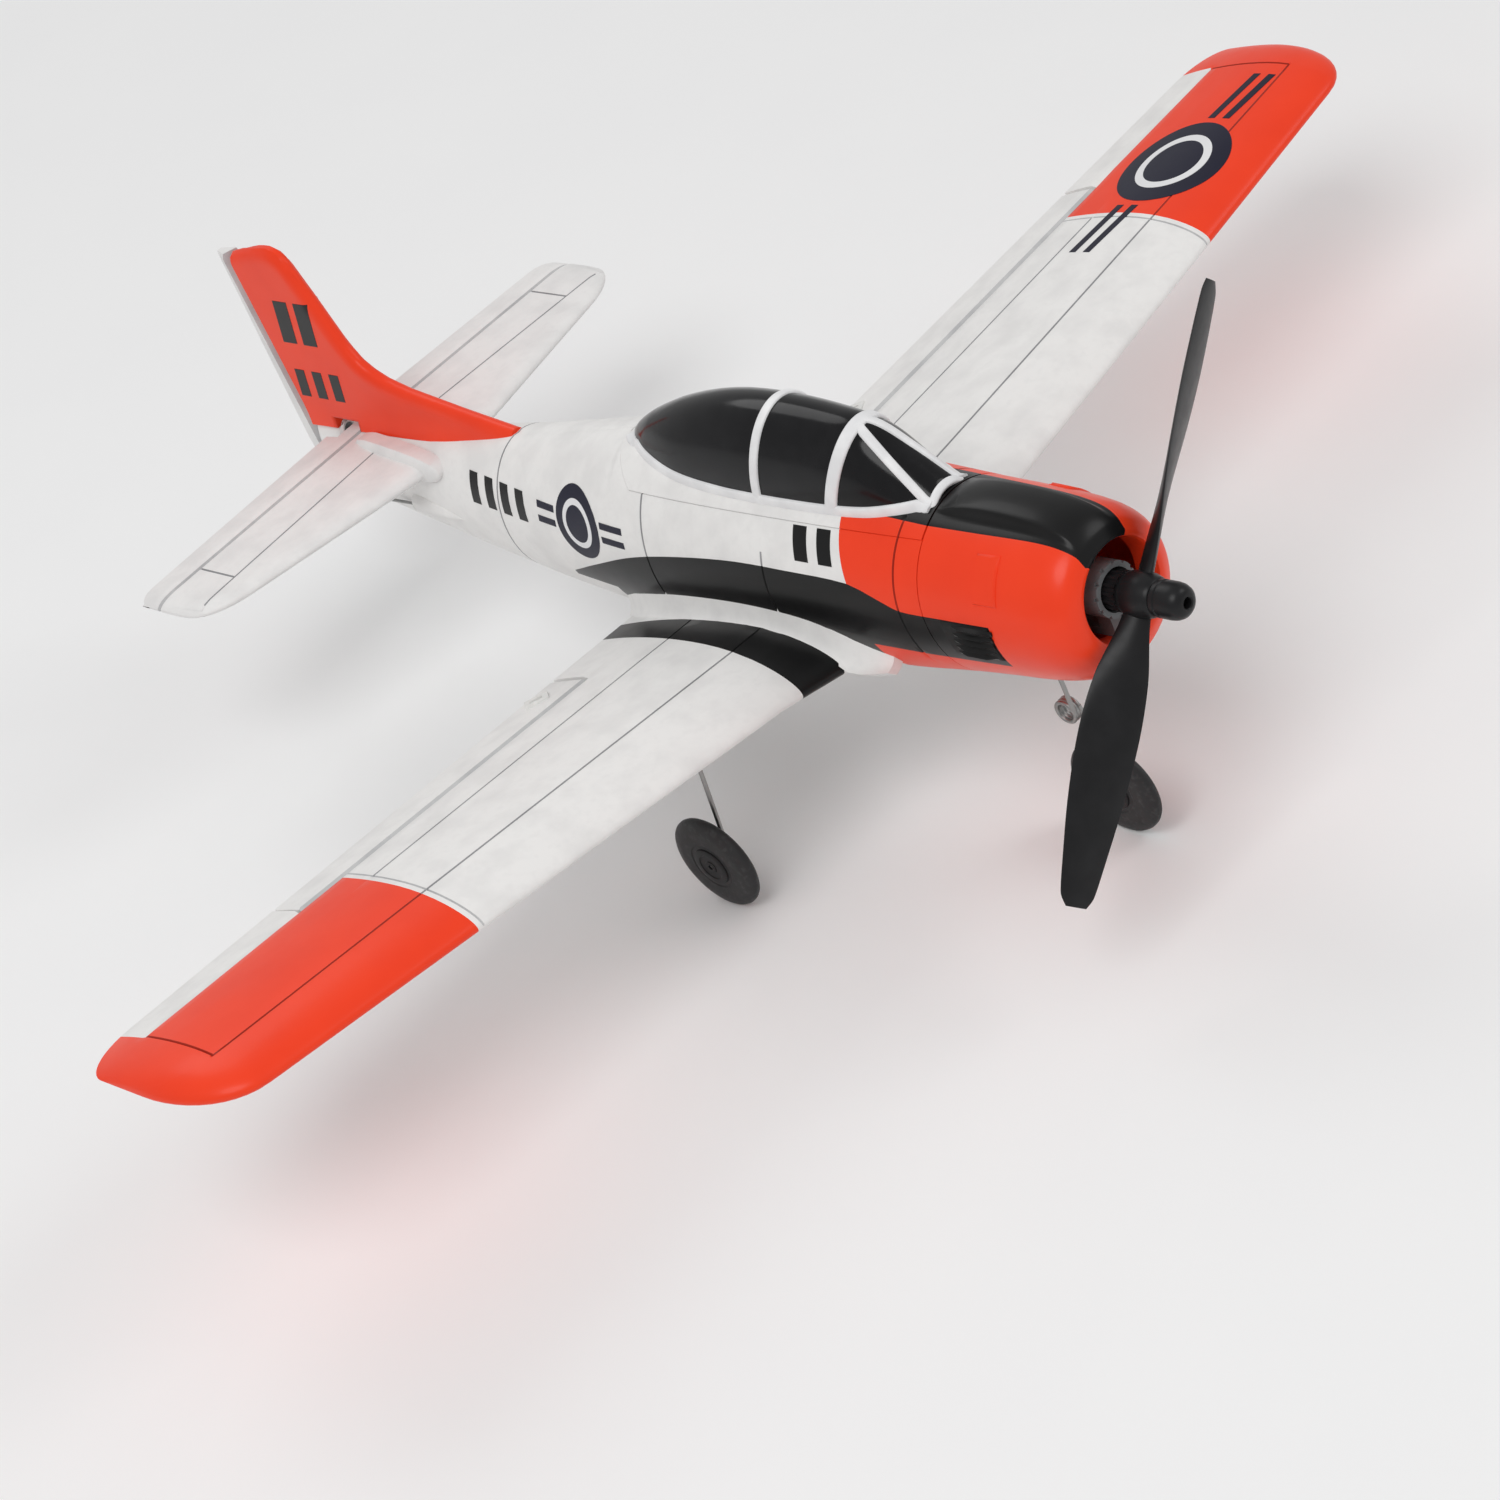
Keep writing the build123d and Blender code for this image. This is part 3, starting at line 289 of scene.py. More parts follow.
# ---------------------------------------------------------------- materials
class Recipe:
    """A principled material and its node tree."""

    def __init__(self, name, colour, rough):
        self.material = bpy.data.materials.new(name)
        self.material.use_nodes = True
        self.nodes = self.material.node_tree.nodes
        self.links = self.material.node_tree.links
        self.shader = self.nodes["Principled BSDF"]
        self.set("Base Color", (*colour, 1.0))
        self.set("Roughness", rough)
        self.colour = colour
        self.place = self.nodes.new("ShaderNodeTexCoord").outputs["Object"]

    def noise(self, size, detail=4.0, stretch=(1.0, 1.0, 1.0)):
        """Noise with features of a size in millimetres."""
        scale = self.nodes.new("ShaderNodeMapping")
        scale.inputs["Scale"].default_value = [1000.0 / size * k for k in stretch]
        self.links.new(self.place, scale.inputs["Vector"])
        made = self.nodes.new("ShaderNodeTexNoise")
        made.inputs["Scale"].default_value = 1.0
        made.inputs["Detail"].default_value = detail
        self.links.new(scale.outputs["Vector"], made.inputs["Vector"])
        return made.outputs["Fac"]

    def cells(self, size):
        """Foam beads of a size in millimetres."""
        made = self.nodes.new("ShaderNodeTexVoronoi")
        made.feature = "SMOOTH_F1"
        made.inputs["Scale"].default_value = 1000.0 / size
        made.inputs["Smoothness"].default_value = 0.35
        self.links.new(self.place, made.inputs["Vector"])
        return made.outputs["Distance"]

    def ramp(self, value, low, high):
        """A value from 0 to 1 between two limits."""
        made = self.nodes.new("ShaderNodeMapRange")
        made.inputs["From Min"].default_value = low
        made.inputs["From Max"].default_value = high
        self.links.new(value, made.inputs["Value"])
        return made.outputs["Result"]

    def mottle(self, mask, other, amount=1.0):
        """Blends the colour towards another where the mask is high."""
        scaled = self.nodes.new("ShaderNodeMath")
        scaled.operation = "MULTIPLY"
        scaled.inputs[1].default_value = amount
        self.links.new(mask, scaled.inputs[0])
        made = self.nodes.new("ShaderNodeMix")
        made.data_type = "RGBA"
        base = self.shader.inputs["Base Color"]
        if base.links:
            self.links.new(base.links[0].from_socket, made.inputs["A"])
        else:
            made.inputs["A"].default_value = (*self.colour, 1.0)
        made.inputs["B"].default_value = (*other, 1.0)
        self.links.new(scaled.outputs[0], made.inputs["Factor"])
        self.links.new(made.outputs["Result"], base)

    def vary_rough(self, mask, low, high):
        """Roughness between two values."""
        made = self.nodes.new("ShaderNodeMapRange")
        made.inputs["To Min"].default_value = low
        made.inputs["To Max"].default_value = high
        self.links.new(mask, made.inputs["Value"])
        self.links.new(made.outputs["Result"], self.shader.inputs["Roughness"])

    def bump(self, height, depth, strength=1.0):
        """Surface relief of a depth in millimetres, on top of what is there."""
        made = self.nodes.new("ShaderNodeBump")
        made.inputs["Strength"].default_value = strength
        made.inputs["Distance"].default_value = depth * MM
        self.links.new(height, made.inputs["Height"])
        normal = self.shader.inputs["Normal"]
        if normal.links:
            self.links.new(normal.links[0].from_socket, made.inputs["Normal"])
        self.links.new(made.outputs["Normal"], normal)

    def set(self, name, value):
        self.shader.inputs[name].default_value = value


def foam(name, colour, blotch, rough):
    """Bare moulded foam: soft blotches, fused beads and a faint sheen."""
    made = Recipe(name, colour, rough)
    made.mottle(made.ramp(made.noise(9.0, 5.0), 0.42, 0.68), blotch, 0.75)
    made.mottle(made.ramp(made.noise(2.2, 3.0), 0.5, 0.75), blotch, 0.35)
    made.vary_rough(made.noise(5.0), rough - 0.08, rough + 0.1)
    made.bump(made.cells(1.9), 0.03, 0.5)
    made.bump(made.noise(0.5, 2.0), 0.008, 0.5)
    return made.material


def paint_film(name, colour, deep, rough):
    """Glossy paint over foam, with the beads showing through a little."""
    made = Recipe(name, colour, rough)
    made.mottle(made.ramp(made.noise(16.0, 3.0), 0.35, 0.75), deep, 0.5)
    made.vary_rough(made.noise(7.0), rough - 0.06, rough + 0.08)
    made.bump(made.cells(2.1), 0.012, 0.25)
    made.bump(made.noise(0.7, 2.0), 0.002, 0.3)
    made.set("Specular IOR Level", 0.2)
    made.set("Coat Weight", 0.08)
    made.set("Coat Roughness", 0.15)
    return made.material


def plastic(name, colour, rough, grain=0.35, depth=0.01, other=None):
    """Moulded plastic with a fine grain."""
    made = Recipe(name, colour, rough)
    tint = other or [min(1.0, value * 1.35 + 0.004) for value in colour]
    made.mottle(made.ramp(made.noise(6.0), 0.4, 0.75), tint, 0.6)
    made.vary_rough(made.noise(2.5), rough - 0.07, rough + 0.1)
    made.bump(made.noise(grain, 3.0), depth, 0.6)
    made.set("Specular IOR Level", 0.24)
    return made.material


def metal(name, colour, rough, stretch=(1.0, 1.0, 1.0), size=0.5):
    """Metal with drawn or turned streaks."""
    made = Recipe(name, colour, rough)
    made.set("Metallic", 1.0)
    streaks = made.noise(size, 4.0, stretch)
    made.mottle(made.ramp(made.noise(3.0), 0.45, 0.75), [value * 0.7 for value in colour], 0.5)
    made.vary_rough(streaks, rough - 0.08, rough + 0.14)
    made.bump(streaks, 0.006, 0.5)
    return made.material


def rubbed(name, colour, rough):
    """Dense black wheel foam with a soft grain and lighter rubbed spots."""
    made = Recipe(name, colour, rough)
    made.mottle(made.ramp(made.noise(1.4, 5.0), 0.52, 0.8), (0.05, 0.05, 0.052), 0.8)
    made.vary_rough(made.noise(3.0), rough - 0.1, rough + 0.08)
    made.bump(made.cells(0.8), 0.03, 0.6)
    made.bump(made.noise(0.3), 0.012, 0.5)
    return made.material


WHITE = (0.86, 0.85, 0.835)
RED = (0.94, 0.055, 0.014)
BLACK = (0.006, 0.006, 0.0062)
NAVY = (0.008, 0.008, 0.024)
MATERIALS = {
    "white foam": foam("white_foam", WHITE, (0.76, 0.75, 0.74), 0.52),
    "tail foam": foam("tail_foam", (0.84, 0.83, 0.82), (0.74, 0.73, 0.725), 0.52),
    # painted shade: the inside faces of the shell and the servo pocket are coloured darker grey than the
    # outside foam
    "shaded inner foam": foam("shaded_inner_foam", (0.66, 0.66, 0.66), (0.55, 0.55, 0.56), 0.7),
    # painted shade: the panel-line grooves in the white foam are coloured darker grey, standing in for the
    # shade inside them
    "groove": foam("panel_groove_shade", (0.36, 0.36, 0.37), (0.28, 0.28, 0.29), 0.7),
    # painted shade: paler grey on the raked hinge faces, along the aileron gap and in the wing rib line
    "pale shade": foam("pale_shade_grey", (0.60, 0.60, 0.60), (0.48, 0.48, 0.49), 0.7),
    "red paint": paint_film("red_paint", RED, (0.84, 0.042, 0.011), 0.36),
    # painted shade: darker red in the grooves through the red paint
    "red groove": paint_film("red_groove", (0.42, 0.024, 0.009), (0.30, 0.018, 0.008), 0.5),
    "black paint": paint_film("black_paint", BLACK, (0.012, 0.012, 0.0125), 0.3),
    # painted shade: darker black in the grooves across the black stripe and in the vent slots
    "black groove": paint_film("black_groove", (0.003, 0.003, 0.003), (0.006, 0.006, 0.006), 0.5),
    "navy mark": paint_film("navy_mark", NAVY, (0.013, 0.014, 0.034), 0.4),
    "white mark": paint_film("white_mark", (0.82, 0.82, 0.83), (0.74, 0.74, 0.76), 0.4),
    "cowl red": paint_film("cowl_red", RED, (0.86, 0.045, 0.012), 0.3),
    "glazing": plastic("dark_glazing", (0.006, 0.006, 0.007), 0.13, grain=4.0, depth=0.02),
    "frame white": plastic("frame_white", (0.80, 0.80, 0.81), 0.34, grain=0.8),
    "satin black": plastic("satin_black", (0.010, 0.010, 0.011), 0.33),
    "grey nylon": plastic("grey_nylon", (0.16, 0.165, 0.17), 0.5),
    "white nylon": plastic("white_nylon", (0.72, 0.72, 0.70), 0.42),
    "servo case": plastic("servo_case", (0.014, 0.016, 0.022), 0.4),
    "circuit": plastic("circuit", (0.01, 0.11, 0.035), 0.35, grain=1.6, depth=0.03, other=(0.25, 0.3, 0.12)),
    "battery": plastic("battery_pouch", (0.33, 0.34, 0.36), 0.28, grain=2.5, depth=0.06),
    "plywood": foam("plywood", (0.50, 0.34, 0.18), (0.38, 0.24, 0.11), 0.6),
    "steel wire": metal("steel_wire", (0.34, 0.34, 0.335), 0.34, (1.0, 1.0, 0.1)),
    "steel shaft": metal("steel_shaft", (0.66, 0.66, 0.67), 0.2, (1.0, 12.0, 1.0)),
    "motor can": metal("motor_can", (0.52, 0.53, 0.55), 0.36, (1.0, 8.0, 1.0)),
    "bearing": metal("bearing_steel", (0.7, 0.7, 0.72), 0.18, (1.0, 6.0, 1.0)),
    "brass": metal("brass", (0.78, 0.56, 0.22), 0.25),
    "nickel": metal("magnet_nickel", (0.6, 0.6, 0.6), 0.16),
    "carbon": plastic("carbon_rod", (0.012, 0.012, 0.013), 0.3, grain=1.2, depth=0.02),
    "tyre": rubbed("wheel_foam", (0.011, 0.011, 0.012), 0.55),
    "hub": plastic("hub_black", (0.009, 0.009, 0.010), 0.38),
}


# ---------------------------------------------------------------- wing
def leading_edge(x):
    if x > GLOVE_X:
        return 0.05 * (x - 129.0)
    return 0.05 * (GLOVE_X - 129.0) - 0.2 * (GLOVE_X - x)


def chord_at(x):
    return 72.0 - 0.098 * x - leading_edge(x)


def foil(share, side):
    """Height of the wing surface as a share of the chord."""
    if share < 0.4:
        camber = 0.25 * (0.8 * share - share**2)
    else:
        camber = 0.04 / 0.36 * (0.2 + 0.8 * share - share**2)
    series = 0.2969 * math.sqrt(share) - 0.126 * share - 0.3516 * share**2
    series += 0.2843 * share**3 - 0.1036 * share**4
    return camber + side * 5 * 0.135 * series


def wing_at(x, share, side, sink=0.0):
    """Point of the wing surface; side is 1 above and -1 below, sink is a depth under the surface."""
    share = min(max(share, 0.0), 1.0)
    full = 1.0
    if x > TIP_START:
        reach = (x - TIP_START) / (TIP_X - TIP_START)
        full = math.sqrt(max(1 - reach**2.2, 0.0009))
    y = leading_edge(x) + (1 - full) * TIP_FRONT_DRAW
    y += share * (chord_at(x) - (1 - full) * (TIP_FRONT_DRAW + TIP_REAR_DRAW))
    z = -20.1 + 0.1088 * x - 0.034 * (y - leading_edge(x))
    z += full * (chord_at(x) * foil(share, side) + side * 0.6 * share)
    return (x, y, z - side * sink)


def share_at(x, y):
    """Chord share of a place on the wing."""
    return (y - leading_edge(x)) / chord_at(x)


def wing_rows(x):
    """Chord shares of the rows of the wing grid: (share, kind)."""
    narrow = LINE_W / chord_at(x)
    front = share_at(x, 15.5)
    rear = share_at(x, 41.5 - 0.05 * x)
    rows = [(s, "") for s in (0.0, 0.002, 0.007, 0.015, 0.028, 0.046, 0.07, 0.10, 0.14, 0.19)]
    rows += [(front - narrow, ""), (front, "front line"), (front + narrow, "")]
    rows += [(front + (rear - front) * k, "") for k in (0.2, 0.4, 0.6, 0.8)]
    rows += [(rear - narrow, ""), (rear, "rear line"), (rear + narrow, "")]
    rows += [(rear + (HINGE - rear) * k, "") for k in (0.35, 0.7)]
    rows += [(HINGE - 1.2 / chord_at(x), ""), (HINGE, "hinge")]
    rows += [(s, "") for s in (0.82, 0.86, 0.9, 0.94, 0.975, 0.992, 1.0)]
    return rows


def wing_columns():
    """Span positions of the wing grid: (x, kind)."""
    columns = [(x, "") for x in knots([WING_IN_X, 23.0, 29.0], [3, 3])]
    columns += [(34.2, "stripe"), (40.0, ""), (AILERON[0], "")]
    columns += [(x, "") for x in knots([55.0, 120.0], [9])]
    columns += [(126.75, ""), (127.0, "rib"), (127.25, ""), (RED_FROM, ""), (134.0, ""), (AILERON[1], "")]
    columns += [(x, "") for x in knots([148.0, 184.0], [5])]
    columns += [(186.7, ""), (187.0, "tip line"), (187.3, ""), (STRIP_TO, "")]
    columns += [(x, "") for x in (189.5, 191.4, 193.2, 194.8, 196.2, 197.4, 198.3, 199.0, 199.45, TIP_X)]
    return columns


def wing_paint(x, share, line):
    """Colour of the wing skin at a span position and chord share."""
    aft = share >= HINGE - 0.001
    red = x > RED_FROM and not (aft and x < STRIP_TO)
    # panel lines take the darker groove colours: painted shade
    if line:
        return "red groove" if red else "groove"
    if red:
        return "red paint"
    return "white foam"


def build_wing():
    """One-piece wing with its root stripe, panel lines, belly and root fairings."""
    skin = Skin()
    columns = wing_columns()
    rows = [wing_rows(x) for x, _ in columns]
    top = []
    low = []
    for (x, kind), shares in zip(columns, rows):
        upper = []
        lower = []
        for share, mark in shares:
            at = x - 4.6 * share if kind == "stripe" else x
            sink = 0.0
            if mark == "front line" and 24.0 < x < 187.5 or mark == "rear line" and 24.0 < x < 127.5:
                sink = LINE_DEPTH
            if kind == "rib" and share < HINGE + 0.001:
                sink = LINE_DEPTH
            if kind == "tip line" and share_at(x, 15.5) <= share <= HINGE:
                sink = LINE_DEPTH
            if mark == "hinge" and AILERON[0] <= x:
                sink = 0.8 if x <= AILERON[1] else LINE_DEPTH * (x < STRIP_TO)
            upper.append(wing_at(at, share, 1, sink))
            lower.append(wing_at(at, share, -1))
        top.append(upper)
        low.append(lower)
    hinge_row = [mark for _, mark in rows[0]].index("hinge")

    def keep(j, i):
        middle = (columns[j][0] + columns[j + 1][0]) / 2
        return not (AILERON[0] < middle < AILERON[1] and i >= hinge_row)

    def paint(j, i):
        middle = (columns[j][0] + columns[j + 1][0]) / 2
        shares = rows[j]
        marks = (shares[i][1], shares[i + 1][1])
        span = (columns[j][1], columns[j + 1][1])
        stripe = 22.0 < middle and "stripe" not in span[:1] and columns[j + 1][0] <= 34.3
        line = "front line" in marks and 24.0 < middle < 187.0
        line = line or "rear line" in marks and 24.0 < middle < 127.0
        share = (shares[i][0] + shares[i + 1][0]) / 2
        rib = "rib" in span and share < HINGE
        line = line or "tip line" in span and share_at(middle, 15.5) < share < HINGE
        # a groove across the black stripe is painted darker black: painted shade
        if stripe:
            return "black groove" if line else "black paint"
        # the strip before the aileron gap and the rib line are painted grey: painted shade
        if marks[1] == "hinge" and AILERON[0] < middle < AILERON[1]:
            return "pale shade"
        if rib and not line:
            return "pale shade"
        return wing_paint(middle, shares[i][0], line)

    def under(j, i):
        middle = (columns[j][0] + columns[j + 1][0]) / 2
        stripe = 22.0 < middle and columns[j][1] != "stripe" and columns[j + 1][0] <= 34.3
        return "black paint" if stripe else wing_paint(middle, rows[j][i][0], False)

    for skin.side in (1, -1):
        skin.slab(top, low, paint, keep, back=under)
        build_fairing(skin)
    build_belly(skin)
    return skin.piece("wing_skin", "airframe", "wing_panel", sharp=35.0)


def build_fairing(skin):
    """Concave fillet between the wing root and the fuselage side."""
    stations = knots([-19.0, -9.0, 60.0, 71.5], [8, 22, 8])
    outer = []
    inner = []
    for y in stations:
        height = curve(FAIRING, y)
        reach = curve(FAIRING, y, 2)
        side_x = hull(y, angle_at_height(y, height))[0] - 0.3
        foot_z = wing_at(reach, share_at(reach, y), 1)[2] - 0.25
        row = []
        back = []
        for k in range(9):
            t = k / 8
            start = (1 - t) ** 2
            corner = 1.7 * t * (1 - t)
            end = 1 - start - corner
            x = side_x * start + (side_x + 0.5) * corner + reach * end
            z = height * start + (foot_z + 0.3) * corner + foot_z * end
            row.append((x, y, z))
            back.append((x - 2.0, y, z - 2.0))
        outer.append(row)
        inner.append(back)
    skin.slab(outer, inner, lambda j, i: "white foam")


def build_belly(skin):
    """Bottom of the fuselage that is part of the wing, with the servo pocket left open."""
    stations = knots([SADDLE[0], *POCKET_Y, SADDLE[1]], [5, 4, 8])
    stations = sorted([y for y in stations if y != 27.0] + list(RELIEF_Y))
    skin.side = 1
    outer = []
    inner = []
    for y in stations:
        edge = hull(y, angle_at_height(y, SADDLE_Z))[0]
        half = [0.0, 4.0, 8.0, POCKET_X, RELIEF_X]
        half += [RELIEF_X + (edge - RELIEF_X) * k for k in (0.3, 0.55, 0.75, 0.9, 1.0)]
        across = [-x for x in reversed(half[1:])] + half
        _, bottom, wide, widest = section(y)
        row = []
        for x in across:
            drop = (widest - bottom) * math.sqrt(max(1 - (x / wide) ** 2, 0.0))
            row.append((x, y, widest - drop))
        outer.append(row)
        inner.append([(x, y, SADDLE_Z + 0.02) for x, _, _ in row])

    def keep(j, i):
        middle = abs(outer[j][i][0] + outer[j][i + 1][0]) / 2
        pocket = middle < POCKET_X and POCKET_Y[0] <= stations[j] < POCKET_Y[1]
        relief = middle < RELIEF_X and RELIEF_Y[0] <= stations[j] < RELIEF_Y[1]
        return not (pocket or relief)

    skin.slab(outer, inner, lambda j, i: "white foam", keep)
    # the pocket ceiling and shelves are painted darker grey: painted shade
    ceiling = [[(x, y, -19.5) for x in (-POCKET_X, 0.0, POCKET_X)] for y in POCKET_Y]
    above = [[(x, y, SADDLE_Z - 0.3) for x, y, _ in row] for row in ceiling]
    skin.slab(ceiling, above, lambda j, i: "shaded inner foam")
    for skin.side in (1, -1):
        shelf = [[(x, y, -23.0) for x in (POCKET_X, RELIEF_X)] for y in RELIEF_Y]
        above = [[(x, y, SADDLE_Z - 0.3) for x, y, _ in row] for row in shelf]
        skin.slab(shelf, above, lambda j, i: "shaded inner foam")


def build_aileron(name, side):
    """Aileron with a raked front face, a softened top edge and square ends."""
    skin = Skin(side)
    low_x = AILERON[0] + END_GAP
    high_x = AILERON[1] - END_GAP
    columns = [low_x, low_x + 0.5] + knots([low_x + 6.0, high_x - 6.0], [16]) + [high_x - 0.5, high_x]
    top = []
    low = []
    for k, x in enumerate(columns):
        end = 0.3 if k in (0, len(columns) - 1) else 0.0
        hinge_y = wing_at(x, HINGE, 1)[1] + HINGE_GAP
        thick = wing_at(x, HINGE, 1)[2] - wing_at(x, HINGE, -1)[2]
        front = share_at(x, hinge_y + 0.8 * AILERON_LEAN)
        chamfer = share_at(x, hinge_y + 1.1)
        upper = [wing_at(x, front, 1, 0.8), wing_at(x, chamfer, 1, end)]
        lower = [wing_at(x, share_at(x, hinge_y + thick * AILERON_LEAN), -1),
                 wing_at(x, share_at(x, hinge_y + thick * AILERON_LEAN + 0.4), -1, end)]
        for t in (0.3, 0.5, 0.7, 0.85, 0.95, 0.985):
            share = front + (1 - front) * t
            upper.append(wing_at(x, share, 1, end))
            lower.append(wing_at(x, share, -1, end))
        upper.append(wing_at(x, 1.0, 1, 0.25))
        lower.append(wing_at(x, 1.0, -1, 0.25))
        top.append(upper)
        low.append(lower)
    # the raked front face is painted grey: painted shade
    skin.slab(top, low, lambda j, i: "pale shade" if i == 0 else "white foam", front="pale shade")
    return skin.piece(name + "_skin", name, name, sharp=35.0)


# ---------------------------------------------------------------- fuselage
def section(y):
    """Top, bottom, half width and widest height of the fuselage."""
    return [curve(STATIONS, y, column) for column in (1, 2, 3, 4)]


def hull(y, angle, inset=0.0):
    """Point of the fuselage skin on the left side; the angle runs from -90 (keel) to 90 (top)."""
    top, bottom, half, widest = section(y)
    reach = top - widest if angle > 0 else widest - bottom
    x = (half - inset) * math.cos(math.radians(angle))
    z = widest + (reach - inset) * math.sin(math.radians(angle))
    return (x, y, z + hump(x, y) * (inset == 0.0))


def hump(x, y):
    """Raised ridge along the top of the cowl."""
    if y > -39.0 or y < -78.0:
        return 0.0
    rise = curve([(-78.0, 0.0), (-74.0, 0.9), (-64.0, 1.8), (-52.0, 2.0), (-44.0, 1.2), (-39.0, 0.0)], y)
    edge = min(max((6.6 - abs(x)) / 1.4, 0.0), 1.0)
    return rise * edge * edge * (3 - 2 * edge)


def angle_at_height(y, z):
    top, bottom, _, widest = section(y)
    reach = top - widest if z > widest else widest - bottom
    return math.degrees(math.asin(min(max((z - widest) / reach, -1.0), 1.0)))


def angle_at_x(y, x):
    half = section(y)[2]
    return math.degrees(math.acos(min(x / half, 1.0)))


def seam_angle(y):
    """Where the hatch seam runs; behind the hatch the row eases back down the side."""
    if y < 64.0:
        line = HATCH_Z + max(y - HATCH_REAR_Y, 0.0) * HATCH_SLOPE
        return min(angle_at_height(y, line), 88.0)
    return max(88.0 - (y - 64.0) * 0.9, 58.0)


def body_angles(y):
    """Angles of the rows of the fuselage skin."""
    held = min(y, TAIL_HOLD_Y)
    low = angle_at_height(held, SADDLE_Z)
    swoosh_low = angle_at_height(held, curve(SWOOSH_LOW, held))
    swoosh_up = angle_at_height(held, max(curve(SWOOSH_UP, held), curve(SWOOSH_LOW, held) + 1.4))
    return knots([-90.0, low, swoosh_low, swoosh_up, seam_angle(y), 90.0], BODY_COUNTS)


def ringed(stations, lines):
    """Stations with three close ones at each groove; returns the stations and the groove places."""
    made = sorted(set(stations) | {y + k * LINE_W for y in lines for k in (-1, 0, 1)})
    return [y for y in made if not any(0 < abs(y - line) < 0.9 * LINE_W for line in lines)]


def slanted(y, z):
    """The colour edge leans aft as it climbs; the other stations stay upright."""
    if y in (RED_EDGE_Y, HATCH_EDGE_Y):
        return y + max(z - (HATCH_Z if y == HATCH_EDGE_Y else 5.6), 0.0) * 0.31
    return y


def body_paint(y, row):
    """Colour of the fuselage side."""
    if row >= SWOOSH_ROWS[0] and row < SWOOSH_ROWS[1] and y < TAIL_HOLD_Y - 1.0:
        return "black"
    if y < -17.0 and row < SWOOSH_ROWS[0]:
        return "red"
    if y < SADDLE[1] and y > -17.0 and row < SWOOSH_ROWS[0] and row >= SADDLE_ROW:
        return "black"
    if row >= SWOOSH_ROWS[1] and y < RED_EDGE_Y:
        return "red"
    return "white"


def groove_here(y, row, height):
    if abs(y - 9.4) < 1.0:
        return height < 9.0 and row >= SADDLE_ROW
    if abs(y + 31.6) < 1.0:
        return row >= SWOOSH_ROWS[0]
    if abs(y - 50.6) < 1.0:
        return row >= SADDLE_ROW
    return True


# a groove takes a darker colour of its paint: painted shade
def shade(colour, groove):
    if colour == "white":
        return "groove" if groove else "white foam"
    return colour + (" groove" if groove else " paint")


def build_fuselage(name, side):
    """One moulded foam half with its wall, open under the hatch and over the wing's belly."""
    skin = Skin(side)
    base = knots([SEAM_Y, SADDLE[0], 55.5, 64.0, SADDLE[1], 112.0, 176.0, 197.0], [7, 12, 6, 3, 10, 12, 6])
    base = [y for y in base if abs(y - RED_EDGE_Y) > 2.0] + [RED_EDGE_Y]
    stations = ringed(base, BODY_LINES)
    outer = []
    inner = []
    for y in stations:
        angles = body_angles(y)
        wall = FOAM_WALL if y < 150.0 else FOAM_WALL * 0.6
        row = []
        back = []
        for i, upright in enumerate(angles):
            z = hull(y, upright)[2]
            at = slanted(y, z)
            angle = body_angles(at)[i] if at != y else upright
            deep = 0.0
            if any(abs(y - line) < 0.01 for line in BODY_LINES) and groove_here(y, i, z):
                deep = LINE_DEPTH
            if i in (0, len(angles) - 1):
                deep += 0.25
            row.append(hull_sunk(at, angle, deep))
            bx, _, bz = hull(at, angle, wall)
            if i == SEAM_ROW and y < 64.0:
                bz = row[-1][2]
            if i == SADDLE_ROW and SADDLE[0] <= y <= SADDLE[1]:
                bz = row[-1][2]
            back.append((bx, at, bz))
        outer.append(row)
        inner.append(back)

    def keep(j, i):
        middle = (stations[j] + stations[j + 1]) / 2
        if middle < 64.0 and i >= SEAM_ROW:
            return False
        return not (SADDLE[0] < middle < SADDLE[1] and i < SADDLE_ROW)

    def paint(j, i):
        middle = (stations[j] + stations[j + 1]) / 2
        height = (outer[j][i][2] + outer[j + 1][i + 1][2]) / 2
        # grooves are painted darker: painted shade
        groove = any(abs(middle - line) < LINE_W for line in BODY_LINES) and groove_here(middle, i, height)
        return shade(body_paint(middle, i), groove)

    # the inside faces are painted darker grey: painted shade
    skin.slab(outer, inner, paint, keep, back=lambda j, i: "shaded inner foam")
    add_pod(skin)
    made = skin.piece(name + "_skin", "airframe", name, sharp=35.0)
    carve(made, (-12.0, 175.6, 0.2), (12.0, 185.6, 10.0))
    return made


def hull_sunk(y, angle, deep):
    """Fuselage skin point drawn in towards the centre line by a depth."""
    x, _, z = hull(y, angle)
    middle = section(y)[3]
    away = math.hypot(x, z - middle)
    share = 1 - deep / max(away, 1.0)
    return (x * share, y, middle + (z - middle) * share)


def add_pod(skin):
    """Teardrop boss where a tail control wire comes out of the fuselage side."""
    stations = [(133.0, 0.05), (136.0, 0.9), (140.0, 1.6), (145.0, 2.25), (150.0, 2.8), (153.6, 2.9),
                (155.0, 2.5), (155.2, 1.3)]
    rings = []
    for y, radius in stations:
        ring = []
        middle = hull(y, angle_at_height(y, -6.9))[0] - 0.35 * radius
        for k in range(20):
            turn = 2 * math.pi * k / 20
            ring.append((middle + radius * math.cos(turn), y, -6.9 + radius * math.sin(turn)))
        rings.append(ring)
    skin.loops(rings, lambda j, i: "white foam")


